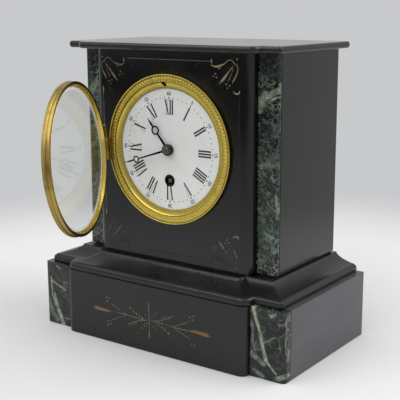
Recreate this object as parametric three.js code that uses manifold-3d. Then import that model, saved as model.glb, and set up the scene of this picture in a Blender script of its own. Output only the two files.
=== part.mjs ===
// Mantel clock: a case of black slate slabs with green marble corners on a moulded plinth.
// It holds a round spring-driven timepiece movement, a glazed door in front and a round door behind.
// Millimetres, +Z up, front towards -Y. The origin is the middle of the plinth's underside.

import * as THREE from 'three';
import { mergeVertices } from 'three/addons/utils/BufferGeometryUtils.js';
import Module from 'manifold-3d';

const wasm = await Module();
wasm.setup();

// Clearances and fineness
const jointGap = 0.2;
const seatGap = 0.3;
const overrun = 1;
const ringSides = 32;
const arborSides = 8;
const postSides = 12;
const arcSteps = 4;
const mergeTolerance = 0.0001;

// Plinth
const plinthMargin = 5;
const plinthDepth = 117;
const plinthHeight = 50;
const plinthPanelThickness = 12;
const plinthCornerWidth = 27.8;
const plinthFrontThickness = 14;
const plinthFrontProjection = 6;
const plinthCornerDepth = 7.6;
const plinthCornerRadius = 3.5;
const baseThickness = 10;

// Cove moulding between plinth and body
const coveSideReach = 19;
const coveHeight = 12.8;
const coveReach = 17.2;
const coveFrontSetback = 3.6;
const coveRearSetback = 2.7;
const coveBreakMargin = 1;
const coveBreakDepth = 9;
const coveBreakRadius = 8.4;
const coveCornerRadius = 2.5;
const leastBreakRadius = 0.6;
// From the underside up: share of the reach that the stone is set in, share of the height
const coveShares = [
  [0.035, 0], [0, 0.12], [0.012, 0.27], [0.075, 0.37], [0.2, 0.41], [0.36, 0.49], [0.58, 0.58],
  [0.77, 0.72], [0.9, 0.89], [1, 1],
];

// Body
const bodyWidth = 172;
const bodyFloorThickness = 1.2;
const bodyFloorInset = 1.5;
const bodyFrontSetback = 27.6;
const bodyRearSetback = 4.6;
const bodyPanelThickness = 12;
const pilasterWidth = 16.3;
const bodyFrontProjection = 8.8;
const bodyFrontRadius = 8.4;
const pilasterDepth = 8;
const pilasterRadius = 3.5;
const floorBreakRadius = 6;

// Top slab
const topOverhang = 7.3;
const topThickness = 5;
const topFrontSetback = 16.6;
const topRearSetback = 2.1;
const topBreakOverhang = 9.5;
const topBreakDepth = 8.6;
const topBreakRadius = 8;
const topCornerRadius = 3;
const topNoseReach = 1.9;
const topNoseRings = 5;

// Dial, and the holes through the case
const dialRise = 82.3;
const dialHeadroom = 70.7;
const dialCover = 1.4;
const dialSetback = 1.1;
const dialThickness = 1.2;
const dialPlateThickness = 1;
const dialCentreHole = 3.7;
const dialFootRadius = 1;
const dialFootInset = 8;
const dialFootAngles = [0, 120, 240];
const windingDrop = 22.6;
const windingHole = 4.5;
const grommetWall = 1;
const grommetLip = 0.5;
const bezelCover = 4.3;
const rearHoleStep = 3.2;

// Fixed bezel, turned a little in its hole
const bezelTurn = -4;
const bezelRadius = 54.5;
const bezelRimHeight = 2.7;
const bezelLipWidth = 1.1;
const bezelBandWidth = 4.8;
const bezelSlopeWidth = 4.6;
const bezelBandCrown = 0.6;
const bezelSlopeHeight = 1.3;
const bezelLipThickness = 0.5;
const bezelTubeWall = 0.7;
const bezelTubeLength = 9;
const bezelTubeClearance = 0.6;
const slotInset = 1.3;
const slotLength = 3;
const slotWidth = 1.6;

// Glazed door and its hinge
const doorOpening = 68;
const doorInset = 0.3;
const doorDepth = 6.1;
const doorWall = 2.2;
const doorLipThickness = 1.2;
const doorLipEdge = 0.8;
const doorLipWidth = 4.4;
const doorSlopeWidth = 4;
const doorBead = 0.5;
const glassThickness = 1.6;
const glassBevel = 0.6;
const hingeOffset = 1.6;
const hingeForward = 0.9;
const fixedKnuckleRadius = 1.9;
const fixedKnuckleBottom = -7.8;
const fixedKnuckleTop = 8.8;
const doorKnuckleRadius = 1.45;
const doorKnuckleLength = 9;
const hingePinRadius = 0.65;
const hingePinHead = 1.1;
const hingePinHeadHeight = 0.6;
const hingeLeaf = 3;

// Movement frame
const plateInset = 2;
const plateThickness = 2.5;
const plateSetback = 8.4;
const plateGap = 22;
const pillarInset = 4;
const pillarRadius = 2.6;
const pillarWaist = 1.8;
const pillarAngles = [45, 135, 225, 315];
const pivotClearance = 0.3;
const pillarPinLength = 1.6;

// Going train, front to back and barrel to escape wheel
const greatTeeth = 54;
const greatPinionLeaves = 9;
const greatModule = 0.6667;
const intermediateTeeth = 48;
const centrePinionLeaves = 6;
const intermediateModule = 0.665;
const centreTeeth = 66;
const thirdPinionLeaves = 6;
const centreModule = 0.48;
const thirdTeeth = 66;
const escapePinionLeaves = 6;
const thirdModule = 0.46;
const escapeTeeth = 48;
const escapeRadius = 8;
const escapeToothDepth = 1.4;
const escapeLeanShare = 0.3;
const palletSpan = 11;
const wheelThickness = 1;
const pinionLength = 3;
const arborRadius = 0.9;
const pivotRadius = 0.5;
const rimWidth = 2;
const hubRadius = 3;
const spokeWidth = 1.6;
const spokeCount = 4;
const toothShares = { tip: 0.95, root: 1.2, rootWidth: 0.54, pinionTipWidth: 0.16, wheelTipWidth: 0 };

// Depth of each wheel's middle behind the front plate's inner face
const greatWheelDepth = 1.4;
const intermediateWheelDepth = 17.3;
const centreWheelDepth = 19.8;
const thirdWheelDepth = 6.3;
const escapeWheelDepth = 13.6;

// Barrel, mainspring and winding work
const barrelRadius = 15.6;
const barrelWall = 1.1;
const barrelDepth = 13.6;
const barrelCoverThickness = 1;
const barrelArborRadius = 2.2;
const barrelHubRadius = 4;
const windingSquare = 3;
const windingEndSetback = 0.6;
const springThickness = 0.5;
const springTurns = 4;
const springStepsPerTurn = 10;
const ratchetRadius = 8;
const ratchetTeeth = 16;
const ratchetToothDepth = 1.1;
const ratchetLeanShare = 0.15;
const ratchetThickness = 1.5;
const clickPitch = 13;
const clickThickness = 1.2;
const clickHubRadius = 2;
const clickScrewRadius = 0.8;
const clickNoseWidth = 1;
const clickSpringWidth = 0.7;
const clickSpringLength = 14;
const clickSpringFoot = 1.8;

// Escapement and pendulum
const regulatorSpan = 14.3;
const palletAngle = 34;
const palletClearance = 0.6;
const palletWidth = 1.1;
const anchorHubRadius = 2.2;
const anchorThickness = 1.4;
const crutchThickness = 1.1;
const crutchWidth = 2;
const crutchHubRadius = 2.2;
const crutchLength = 20;
const crutchPinRadius = 0.6;
const crutchSetback = 2;
const cockSetback = 5;
const cockThickness = 2;
const cockWidth = 40;
const cockHeight = 12;
const cockLegRadius = 2.4;
const cockLegPitch = 16;
const blockWidth = 8;
const blockHeight = 8;
const blockDepth = 5.4;
const blockRise = 2.5;
const blockSlot = 1.1;
const suspensionThickness = 0.3;
const suspensionWidth = 3.4;
const suspensionDrop = 3.5;
const suspensionTop = 7.5;
const bobClearance = 4.4;
const pendulumSetback = 10.2;
const rodRadius = 0.9;
const rodTail = 1.5;
const clampWidth = 4;
const clampHeight = 4;
const rodEyeRadius = 2.3;
const bobRadius = 14;
const bobThickness = 8;
const bobEdge = 2;

// Rating work, turned from the front
const regulatorRadius = 1.1;
const regulatorSquare = 1.4;
const regulatorWheelRadius = 2.6;
const regulatorWheelThickness = 1.4;
const ratingScrewRadius = 1;
const ratingWheelThickness = 1.2;
const regulatorLugWidth = 6;
const regulatorLugRise = 4;

// Motion work and hands
const cannonLeaves = 8;
const minuteWheelTeeth = 24;
const minutePinionLeaves = 6;
const hourWheelTeeth = 24;
const cannonModule = 0.75;
const motionAngle = 35;
const motionWheelThickness = 0.9;
const minuteWheelSetback = 0.7;
const hourWheelSetback = 4;
const minutePinionLength = 4.6;
const cannonLeafLength = 2.2;
const cannonRadius = 1.9;
const cannonBore = 1.3;
const centreFrontRadius = 1;
const hourPipeRadius = 3.1;
const hourPipeBore = 2.2;
const handThickness = 0.5;
const hourHandStand = 1.8;
const minuteHandStand = 3.7;
const minuteStudRadius = 0.9;

const hourHand = {
  length: 28.2, ringAt: 17.5, ringRadius: 3.2, ringHole: 2.1, ringHoleShift: 0.3, boss: 4.3,
  base: 0.9, neck: 0.55, tip: 0.5, swell: 0.75, swellShare: 0.3,
};
const minuteHand = {
  length: 41.3, ringAt: 29.3, ringRadius: 2.5, ringHole: 1.6, ringHoleShift: 0.2, boss: 3.9,
  base: 0.8, neck: 0.45, tip: 0.4, swell: 0.6, swellShare: 0.3,
};
const hourHandAngle = 320;
const minuteHandAngle = 252;
const colletRadius = 3;
const colletHeight = 1.1;
const colletRim = 0.4;

// Straps, rear ring and rear door
const strapThickness = 1.4;
const strapWidth = 10;
const strapOverlap = 3;
const strapClearance = 0.6;
const strapEarReach = 8;
const strapEarThickness = 2;
const strapEarSetback = 9.8;
const strapScrewRadius = 1.5;
const strapScrewHead = 2.6;
const strapScrewHeadHeight = 1.1;
const strapScrewInset = 5.3;
const rearRingCover = 5;
const rearRingInner = 35;
const rearRingThickness = 1.7;
const rearDoorRadius = 36.6;
const rearDoorThickness = 0.8;
const rearDoorDish = 0.6;
const rearKnuckleRadius = 0.9;
const rearKnuckleLength = 6;
const rearHingeOffset = 1.4;
const rearPinRadius = 0.4;
const rearKnobRadius = 2.2;
const rearKnobHeight = 0.6;
const rearKnobPitch = 31;

// Widths and planes worked out from those sizes
const bezelBandOuter = bezelRadius - bezelLipWidth;
const bezelBandInner = bezelBandOuter - bezelBandWidth;
const dialSightRadius = bezelBandInner - bezelSlopeWidth;
const dialRadius = dialSightRadius + dialCover;
const frontHoleRadius = bezelRadius - bezelCover;
const rearHoleRadius = frontHoleRadius - rearHoleStep;
const rearRingRadius = rearHoleRadius + rearRingCover;
const regulatorPitch = bezelBandInner - slotInset;
const palletRise = regulatorPitch - regulatorSpan;
const escapeRise = palletRise - palletSpan;
const dialFootPitch = dialSightRadius - dialFootInset;
const plateRadius = dialSightRadius - plateInset;
const pillarPitch = plateRadius - pillarInset;
const doorRadius = bezelRadius - doorInset;
const doorSightRadius = doorRadius - doorLipWidth;
const doorSlopeRadius = doorRadius - doorSlopeWidth;
const strapOuter = frontHoleRadius - bezelTubeClearance - bezelTubeWall - strapClearance;
const strapScrewPitch = strapOuter - strapScrewInset;
const bodyFrontWidth = bodyWidth - 2 * (pilasterWidth + jointGap);
const topWidth = bodyWidth + 2 * topOverhang;
const topBreakWidth = bodyFrontWidth + 2 * topBreakOverhang;
const coveWidth = bodyWidth + 2 * coveSideReach;
const plinthWidth = coveWidth + 2 * plinthMargin;
const plinthFrontWidth = plinthWidth - 2 * (plinthCornerWidth + jointGap);
const coveBreakWidth = plinthFrontWidth + 2 * coveBreakMargin;
const plinthFront = -plinthDepth / 2;
const plinthRear = plinthDepth / 2;
const bodyHeight = dialRise + dialHeadroom;
const pendulumLength = dialRise + palletRise - bobRadius - rodTail - bobClearance;
const coveTop = plinthHeight + coveHeight;
const bodyBottom = coveTop + bodyFloorThickness;
const dialHeight = bodyBottom + dialRise;
const bodyTop = bodyBottom + bodyHeight;
const bodyFront = plinthFront + bodyFrontSetback;
const bodyRear = plinthRear - bodyRearSetback;
const bodyFace = bodyFront - bodyFrontProjection;
const bodyFrontInner = bodyFace + bodyPanelThickness;
const bodyRearInner = bodyRear - bodyPanelThickness;
const dialFace = bodyFace + dialSetback;
const dialBack = dialFace + dialThickness;
const dialPlateBack = dialBack + dialPlateThickness;
const frontPlateFace = dialPlateBack + plateSetback;
const frontPlateInner = frontPlateFace + plateThickness;
const rearPlateInner = frontPlateInner + plateGap;
const rearPlateBack = rearPlateInner + plateThickness;
const bezelRim = bodyFace - bezelRimHeight;
const bezelSeat = bodyFace - jointGap;
const doorBack = bezelRim - seatGap;
const doorFront = doorBack - doorDepth;
const hingeX = -(doorRadius + hingeOffset);
const hingeY = doorBack - hingeForward;
const rearRingSeat = bodyRear + jointGap;
const rearRingFace = rearRingSeat + rearRingThickness;
const rearDoorBack = rearRingFace + seatGap;
const rearHingeX = rearDoorRadius + rearHingeOffset;
const rearHingeY = rearDoorBack + rearDoorThickness;

// Places of the arbors in the movement, as seen from the front
const centre = new THREE.Vector2(0, 0);
const barrelAt = new THREE.Vector2(0, -windingDrop);
const escapeAt = new THREE.Vector2(0, escapeRise);
const palletAt = new THREE.Vector2(0, palletRise);
const greatSpan = (greatTeeth + greatPinionLeaves) * greatModule / 2;
const intermediateSpan = (intermediateTeeth + centrePinionLeaves) * intermediateModule / 2;
const centreSpan = (centreTeeth + thirdPinionLeaves) * centreModule / 2;
const thirdSpan = (thirdTeeth + escapePinionLeaves) * thirdModule / 2;
const intermediateAt = meetingPoint(barrelAt, greatSpan, centre, intermediateSpan, -1);
const thirdAt = meetingPoint(centre, centreSpan, escapeAt, thirdSpan, 1);
const motionSpan = (cannonLeaves + minuteWheelTeeth) * cannonModule / 2;
const hourModule = 2 * motionSpan / (minutePinionLeaves + hourWheelTeeth);
const minuteAt = polar(motionSpan, radians(motionAngle));

const slate = new THREE.MeshStandardMaterial({ color: 0x2b2b2d, roughness: 0.12, metalness: 0 });
const marble = new THREE.MeshStandardMaterial({ color: 0x2f3a33, roughness: 0.15, metalness: 0 });
const brass = new THREE.MeshStandardMaterial({ color: 0xb8963a, roughness: 0.25, metalness: 1 });
const steel = new THREE.MeshStandardMaterial({ color: 0x8c8f94, roughness: 0.3, metalness: 1 });
const blued = new THREE.MeshStandardMaterial({ color: 0x1d2333, roughness: 0.25, metalness: 0.9 });
const enamel = new THREE.MeshStandardMaterial({ color: 0xd6d7d4, roughness: 0.2, metalness: 0 });
const glazing = new THREE.MeshStandardMaterial({ color: 0xe4eaea, roughness: 0.03, metalness: 0 });

// Arithmetic helpers
function radians(degrees) {
  return THREE.MathUtils.degToRad(degrees);
}

function polar(radius, angle) {
  return new THREE.Vector2(radius * Math.cos(angle), radius * Math.sin(angle));
}

function arc(centrePoint, radius, start, end, steps) {
  const points = [];
  for (let i = 0; i <= steps; i += 1) {
    points.push(polar(radius, start + (end - start) * i / steps).add(centrePoint));
  }
  return points;
}

// The point that lies reachA from a and reachB from b, on the side given by +1 or -1
function meetingPoint(a, reachA, b, reachB, side) {
  const line = b.clone().sub(a);
  const span = line.length();
  const along = (reachA ** 2 - reachB ** 2 + span ** 2) / (2 * span);
  const off = Math.sqrt(reachA ** 2 - along ** 2);
  const unit = line.normalize();
  const normal = new THREE.Vector2(-unit.y, unit.x);
  return a.clone().addScaledVector(unit, along).addScaledVector(normal, side * off);
}

function headingTo(from, to) {
  return Math.atan2(to.y - from.y, to.x - from.x);
}

// A closed mesh with shared vertices, no collapsed faces, and its faces pointing out
function closed(geometry) {
  const bare = new THREE.BufferGeometry();
  bare.setAttribute('position', geometry.getAttribute('position'));
  if (geometry.index) {
    bare.setIndex(geometry.index);
  }
  const merged = mergeVertices(bare, mergeTolerance);
  const source = merged.index.array;
  const place = merged.getAttribute('position');
  const faces = [];
  let volume = 0;
  const corner = [new THREE.Vector3(), new THREE.Vector3(), new THREE.Vector3()];
  for (let i = 0; i < source.length; i += 3) {
    const [a, b, c] = [source[i], source[i + 1], source[i + 2]];
    if (a !== b && b !== c && c !== a) {
      faces.push(a, b, c);
      corner.forEach((point, k) => point.fromBufferAttribute(place, source[i + k]));
      volume += corner[0].dot(corner[1].clone().cross(corner[2]));
    }
  }
  if (volume < 0) {
    faces.reverse();
  }
  merged.setIndex(faces);
  return merged;
}

function solidOf(geometry) {
  const mesh = closed(geometry);
  return new wasm.Manifold(new wasm.Mesh({
    numProp: 3,
    vertProperties: new Float32Array(mesh.getAttribute('position').array),
    triVerts: new Uint32Array(mesh.index.array),
  }));
}

function geometryOf(solid) {
  const mesh = solid.getMesh();
  const geometry = new THREE.BufferGeometry();
  geometry.setAttribute('position', new THREE.BufferAttribute(mesh.vertProperties, 3));
  geometry.setIndex(new THREE.BufferAttribute(mesh.triVerts, 1));
  return geometry;
}

function join(...pieces) {
  return geometryOf(pieces.map(solidOf).reduce((whole, piece) => whole.add(piece)));
}

function cut(piece, ...tools) {
  return geometryOf(tools.map(solidOf).reduce((rest, tool) => rest.subtract(tool), solidOf(piece)));
}

// Form helpers: plates stand across Y, posts stand along Z, turned pieces turn about Y
function plate(shape, front, back) {
  const geometry = new THREE.ExtrudeGeometry(shape, { depth: back - front, bevelEnabled: false });
  return geometry.rotateX(Math.PI / 2).translate(0, back, 0);
}

function slab(shape, bottom, top) {
  const geometry = new THREE.ExtrudeGeometry(shape, { depth: top - bottom, bevelEnabled: false });
  return geometry.translate(0, 0, bottom);
}

function turned(profile, sides = ringSides) {
  const points = profile.map(([radius, depth]) => new THREE.Vector2(radius, depth));
  const onAxis = points[0].x === 0 && points[points.length - 1].x === 0;
  if (!onAxis) {
    points.push(points[0].clone());
  }
  return closed(new THREE.LatheGeometry(points, sides));
}

function rod(radius, front, back, sides = arborSides) {
  return turned([[0, front], [radius, front], [radius, back], [0, back]], sides);
}

function tube(radius, bore, front, back, sides = arborSides) {
  return turned([[bore, front], [radius, front], [radius, back], [bore, back]], sides);
}

function post(radius, bottom, top, x, y) {
  const geometry = new THREE.CylinderGeometry(radius, radius, top - bottom, postSides);
  return geometry.rotateX(Math.PI / 2).translate(x, y, (bottom + top) / 2);
}

function block(left, right, front, back, bottom, top) {
  const geometry = new THREE.BoxGeometry(right - left, back - front, top - bottom);
  return geometry.translate((left + right) / 2, (front + back) / 2, (bottom + top) / 2);
}

function disc(radius, steps = ringSides) {
  return new THREE.Shape(arc(centre, radius, 0, 2 * Math.PI, steps).slice(0, -1));
}

function hole(place, radius, steps = arborSides) {
  return new THREE.Path(arc(place, radius, 0, 2 * Math.PI, steps).slice(0, -1));
}

// A closed skin through rings of the same number of points, flat at both ends
function loft(rings) {
  const count = rings[0].length;
  const positions = [];
  const faces = [];
  rings.forEach((ring) => ring.forEach((point) => positions.push(point.x, point.y, point.z)));
  for (let r = 0; r + 1 < rings.length; r += 1) {
    for (let i = 0; i < count; i += 1) {
      const [a, b] = [r * count + i, r * count + (i + 1) % count];
      faces.push(a, b, b + count, a, b + count, a + count);
    }
  }
  [0, rings.length - 1].forEach((r) => {
    const outline = rings[r].map((point) => new THREE.Vector2(point.x, point.y));
    THREE.ShapeUtils.triangulateShape(outline, []).forEach(([a, b, c]) => {
      const start = r * count;
      faces.push(...(r === 0 ? [start + c, start + b, start + a] : [start + a, start + b, start + c]));
    });
  });
  const geometry = new THREE.BufferGeometry();
  geometry.setAttribute('position', new THREE.Float32BufferAttribute(positions, 3));
  geometry.setIndex(faces);
  return closed(geometry);
}

// Outline of a slab whose middle stands forward between two rounded returns
function breakFrontRing(plan, inset, height) {
  const half = plan.width / 2 - inset;
  const front = plan.front + inset;
  const breakHalf = plan.breakWidth / 2 - inset;
  const bend = Math.max(plan.breakRadius - inset, leastBreakRadius);
  const corner = plan.cornerRadius;
  const cornerCentre = new THREE.Vector2(half - corner, front + corner);
  const bendCentre = new THREE.Vector2(breakHalf - bend, front - plan.breakDepth + bend);
  const right = [
    new THREE.Vector2(half, plan.rear),
    ...arc(cornerCentre, corner, 0, -Math.PI / 2, arcSteps / 2),
    new THREE.Vector2(breakHalf, front),
    ...arc(bendCentre, bend, 0, -Math.PI / 2, arcSteps),
  ];
  const left = right.map((point) => new THREE.Vector2(-point.x, point.y)).reverse();
  const outline = [...right, ...left].reverse();
  return outline.map((point) => new THREE.Vector3(point.x, point.y, height));
}

// Outline of an upright panel whose front corners are rounded, seen from above
function roundedPanel(width, front, back, radius) {
  const half = width / 2;
  const cornerCentre = new THREE.Vector2(half - radius, front + radius);
  const right = [new THREE.Vector2(half, back), ...arc(cornerCentre, radius, 0, -Math.PI / 2, arcSteps)];
  const left = right.map((point) => new THREE.Vector2(-point.x, point.y)).reverse();
  return new THREE.Shape([...right, ...left]);
}

// Outline of a corner piece with its outer front edge rounded; side is +1 right, -1 left
function cornerPiece(inner, outer, front, back, radius, side) {
  const cornerCentre = new THREE.Vector2(outer - radius, front + radius);
  const points = [
    new THREE.Vector2(inner, back),
    new THREE.Vector2(outer, back),
    ...arc(cornerCentre, radius, 0, -Math.PI / 2, arcSteps / 2),
    new THREE.Vector2(inner, front),
  ];
  return new THREE.Shape(points.map((point) => new THREE.Vector2(side * point.x, point.y)));
}

// Teeth with straight flanks about a pitch circle; the first tooth stands at the phase angle
function toothed(teeth, module, phase, tipWidth = toothShares.wheelTipWidth) {
  const pitch = 2 * Math.PI / teeth;
  const pitchRadius = teeth * module / 2;
  const tip = pitchRadius + toothShares.tip * module;
  const root = pitchRadius - toothShares.root * module;
  const points = [];
  for (let i = 0; i < teeth; i += 1) {
    const middle = phase + i * pitch;
    points.push(polar(root, middle - toothShares.rootWidth * pitch / 2));
    points.push(polar(tip, middle - tipWidth * pitch / 2));
    if (tipWidth > 0) {
      points.push(polar(tip, middle + tipWidth * pitch / 2));
    }
    points.push(polar(root, middle + toothShares.rootWidth * pitch / 2));
  }
  return new THREE.Shape(points);
}

// Pointed teeth that lean one way, as on a ratchet or an escape wheel
function pointed(teeth, radius, depth, leanShare) {
  const pitch = 2 * Math.PI / teeth;
  const points = [];
  for (let i = 0; i < teeth; i += 1) {
    points.push(polar(radius, i * pitch));
    points.push(polar(radius - depth, (i + leanShare) * pitch));
  }
  return new THREE.Shape(points);
}

// Windows between the spokes of a crossed-out wheel
function crossOut(shape, outer) {
  const sector = 2 * Math.PI / spokeCount;
  for (let i = 0; i < spokeCount; i += 1) {
    const outerHalf = sector / 2 - Math.asin(spokeWidth / 2 / outer);
    const innerHalf = sector / 2 - Math.asin(spokeWidth / 2 / hubRadius);
    const middle = (i + 1 / 2) * sector;
    const window = [
      ...arc(centre, outer, middle - outerHalf, middle + outerHalf, arcSteps),
      ...arc(centre, hubRadius, middle + innerHalf, middle - innerHalf, arcSteps / 2),
    ];
    shape.holes.push(new THREE.Path(window));
  }
  return shape;
}

function rootRadius(teeth, module) {
  return teeth * module / 2 - toothShares.root * module;
}

function crossedWheel(teeth, module, phase, middle) {
  const shape = crossOut(toothed(teeth, module, phase), rootRadius(teeth, module) - rimWidth);
  return plate(shape, middle - wheelThickness / 2, middle + wheelThickness / 2);
}

function pinion(leaves, module, phase, middle, length = pinionLength) {
  const outline = toothed(leaves, module, phase, toothShares.pinionTipWidth);
  return plate(outline, middle - length / 2, middle + length / 2);
}

// An arbor between the plates, with a thinner pivot in each plate
function arbor(radius = arborRadius) {
  const front = frontPlateInner + seatGap;
  const back = rearPlateInner - seatGap;
  return turned([
    [0, frontPlateFace + seatGap], [pivotRadius, frontPlateFace + seatGap], [pivotRadius, front],
    [radius, front], [radius, back], [pivotRadius, back], [pivotRadius, rearPlateBack - seatGap],
    [0, rearPlateBack - seatGap],
  ], arborSides);
}

const clock = new THREE.Group();
const movement = new THREE.Group();
movement.position.z = dialHeight;
const bezelGroup = new THREE.Group();
bezelGroup.position.z = dialHeight;
bezelGroup.rotation.y = radians(bezelTurn);
const hinge = new THREE.Group();
hinge.position.set(hingeX, hingeY, 0);
hinge.rotation.z = -radians(doorOpening);
const doorGroup = new THREE.Group();
doorGroup.position.set(-hingeX, -hingeY, 0);
clock.add(movement, bezelGroup);
bezelGroup.add(hinge);
hinge.add(doorGroup);

function add(name, geometry, material, parent = clock, place = centre, turn = 0) {
  const mesh = new THREE.Mesh(closed(geometry), material);
  mesh.name = name;
  mesh.position.set(place.x, 0, place.y);
  mesh.rotation.y = turn;
  parent.add(mesh);
}

function addPlinth() {
  const frontFace = plinthFront - plinthFrontProjection;
  const frontInner = frontFace + plinthFrontThickness;
  const sideInner = plinthWidth / 2 - plinthPanelThickness;
  const cornerBack = plinthFront + plinthCornerDepth;
  const panel = roundedPanel(plinthFrontWidth, frontFace, frontInner, plinthFrontProjection);
  add('plinth_front_panel', slab(panel, 0, plinthHeight), slate);
  const rearInner = plinthRear - plinthPanelThickness;
  const backHalf = sideInner - jointGap;
  const backPanel = block(-backHalf, backHalf, rearInner, plinthRear, 0, plinthHeight);
  add('plinth_back_panel', backPanel, slate);
  const base = block(
    -backHalf, backHalf, frontInner + jointGap, rearInner - jointGap, 0, baseThickness,
  );
  add('base_slab', base, slate);
  [['left', -1], ['right', 1]].forEach(([hand, side]) => {
    const inner = plinthFrontWidth / 2 + jointGap;
    const corner = cornerPiece(inner, plinthWidth / 2, plinthFront, cornerBack, plinthCornerRadius, side);
    add(`plinth_corner_block_${hand}`, slab(corner, 0, plinthHeight), marble);
    const ends = [side * sideInner, side * plinthWidth / 2].sort((a, b) => a - b);
    const sidePanel = block(...ends, cornerBack + jointGap, plinthRear, 0, plinthHeight);
    add(`plinth_side_panel_${hand}`, sidePanel, slate);
  });
}

function addMoulding() {
  const plan = {
    width: coveWidth, front: plinthFront + coveFrontSetback, rear: plinthRear - coveRearSetback,
    breakWidth: coveBreakWidth, breakDepth: coveBreakDepth, breakRadius: coveBreakRadius,
    cornerRadius: coveCornerRadius,
  };
  const rings = coveShares.map(([reachShare, heightShare]) => breakFrontRing(
    plan, coveReach * reachShare, plinthHeight + coveHeight * heightShare,
  ));
  add('cove_moulding', loft(rings), slate);
}

function addBody() {
  const plan = {
    width: bodyWidth, front: bodyFront, rear: bodyRear - bodyFloorInset, breakWidth: bodyFrontWidth,
    breakDepth: bodyFrontProjection, breakRadius: floorBreakRadius, cornerRadius: pilasterRadius,
  };
  const floor = [coveTop, bodyBottom].map((height) => breakFrontRing(plan, bodyFloorInset, height));
  add('body_floor_slab', loft(floor), slate);
  const panel = roundedPanel(bodyFrontWidth, bodyFace, bodyFrontInner, bodyFrontRadius);
  const frontHole = rod(frontHoleRadius, bodyFace - overrun, bodyFrontInner + overrun, ringSides);
  frontHole.translate(0, 0, dialHeight);
  add('body_front_panel', cut(slab(panel, bodyBottom, bodyTop), frontHole), slate);
  const sideInner = bodyWidth / 2 - bodyPanelThickness;
  const rearHole = rod(rearHoleRadius, bodyRearInner - overrun, bodyRear + overrun, ringSides);
  rearHole.translate(0, 0, dialHeight);
  const backPanel = block(
    -sideInner + jointGap, sideInner - jointGap, bodyRearInner, bodyRear, bodyBottom, bodyTop,
  );
  add('body_back_panel', cut(backPanel, rearHole), slate);
  [['left', -1], ['right', 1]].forEach(([hand, side]) => {
    const inner = bodyFrontWidth / 2 + jointGap;
    const back = bodyFront + pilasterDepth;
    const pilaster = cornerPiece(inner, bodyWidth / 2, bodyFront, back, pilasterRadius, side);
    add(`pilaster_${hand}`, slab(pilaster, bodyBottom, bodyTop), marble);
    const ends = [side * sideInner, side * bodyWidth / 2].sort((a, b) => a - b);
    const sidePanel = block(...ends, back + jointGap, bodyRear, bodyBottom, bodyTop);
    add(`body_side_panel_${hand}`, sidePanel, slate);
  });
}

function addTop() {
  const plan = {
    width: topWidth, front: plinthFront + topFrontSetback, rear: plinthRear - topRearSetback,
    breakWidth: topBreakWidth, breakDepth: topBreakDepth, breakRadius: topBreakRadius,
    cornerRadius: topCornerRadius,
  };
  const rings = [];
  for (let i = 0; i < topNoseRings; i += 1) {
    const rise = 2 * i / (topNoseRings - 1) - 1;
    const inset = topNoseReach * (1 - Math.sqrt(1 - rise ** 2));
    rings.push(breakFrontRing(plan, inset, bodyTop + topThickness * (1 + rise) / 2));
  }
  add('top_slab', loft(rings), slate);
}

function addBezel() {
  const tubeOuter = frontHoleRadius - bezelTubeClearance;
  const tubeInner = tubeOuter - bezelTubeWall;
  const lipBack = dialFace - seatGap;
  const slopeTop = bodyFace - bezelSlopeHeight;
  const bandBase = bezelRim + bezelBandCrown;
  const bandMiddle = (bezelBandInner + bezelBandOuter) / 2;
  const ring = turned([
    [dialSightRadius, lipBack], [dialSightRadius, lipBack - bezelLipThickness],
    [(dialSightRadius + bezelBandInner) / 2, (slopeTop + lipBack) / 2 - bezelLipThickness],
    [bezelBandInner, slopeTop], [bezelBandInner, bandBase], [bandMiddle, bezelRim],
    [bezelBandOuter, bandBase], [bezelRadius - bezelBandCrown / 2, bezelRim + bezelBandCrown / 2],
    [bezelRadius, bandBase], [bezelRadius, bezelSeat], [tubeOuter, bezelSeat],
    [tubeOuter, bezelSeat + bezelTubeLength], [tubeInner, bezelSeat + bezelTubeLength],
    [tubeInner, lipBack],
  ]);
  const slot = block(
    -slotWidth / 2, slotWidth / 2, bezelRim - overrun, lipBack + overrun,
    regulatorPitch - slotLength / 2, regulatorPitch + slotLength / 2,
  );
  const knuckle = post(fixedKnuckleRadius, fixedKnuckleBottom, fixedKnuckleTop, hingeX, hingeY);
  const leaf = block(hingeX, hingeX + hingeLeaf, bezelRim, bezelSeat, fixedKnuckleBottom, fixedKnuckleTop);
  const bore = post(
    hingePinRadius + pivotClearance, fixedKnuckleBottom - overrun, fixedKnuckleTop + overrun,
    hingeX, hingeY,
  );
  add('bezel', cut(join(ring, leaf, knuckle), slot, bore), brass, bezelGroup);
}

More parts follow.
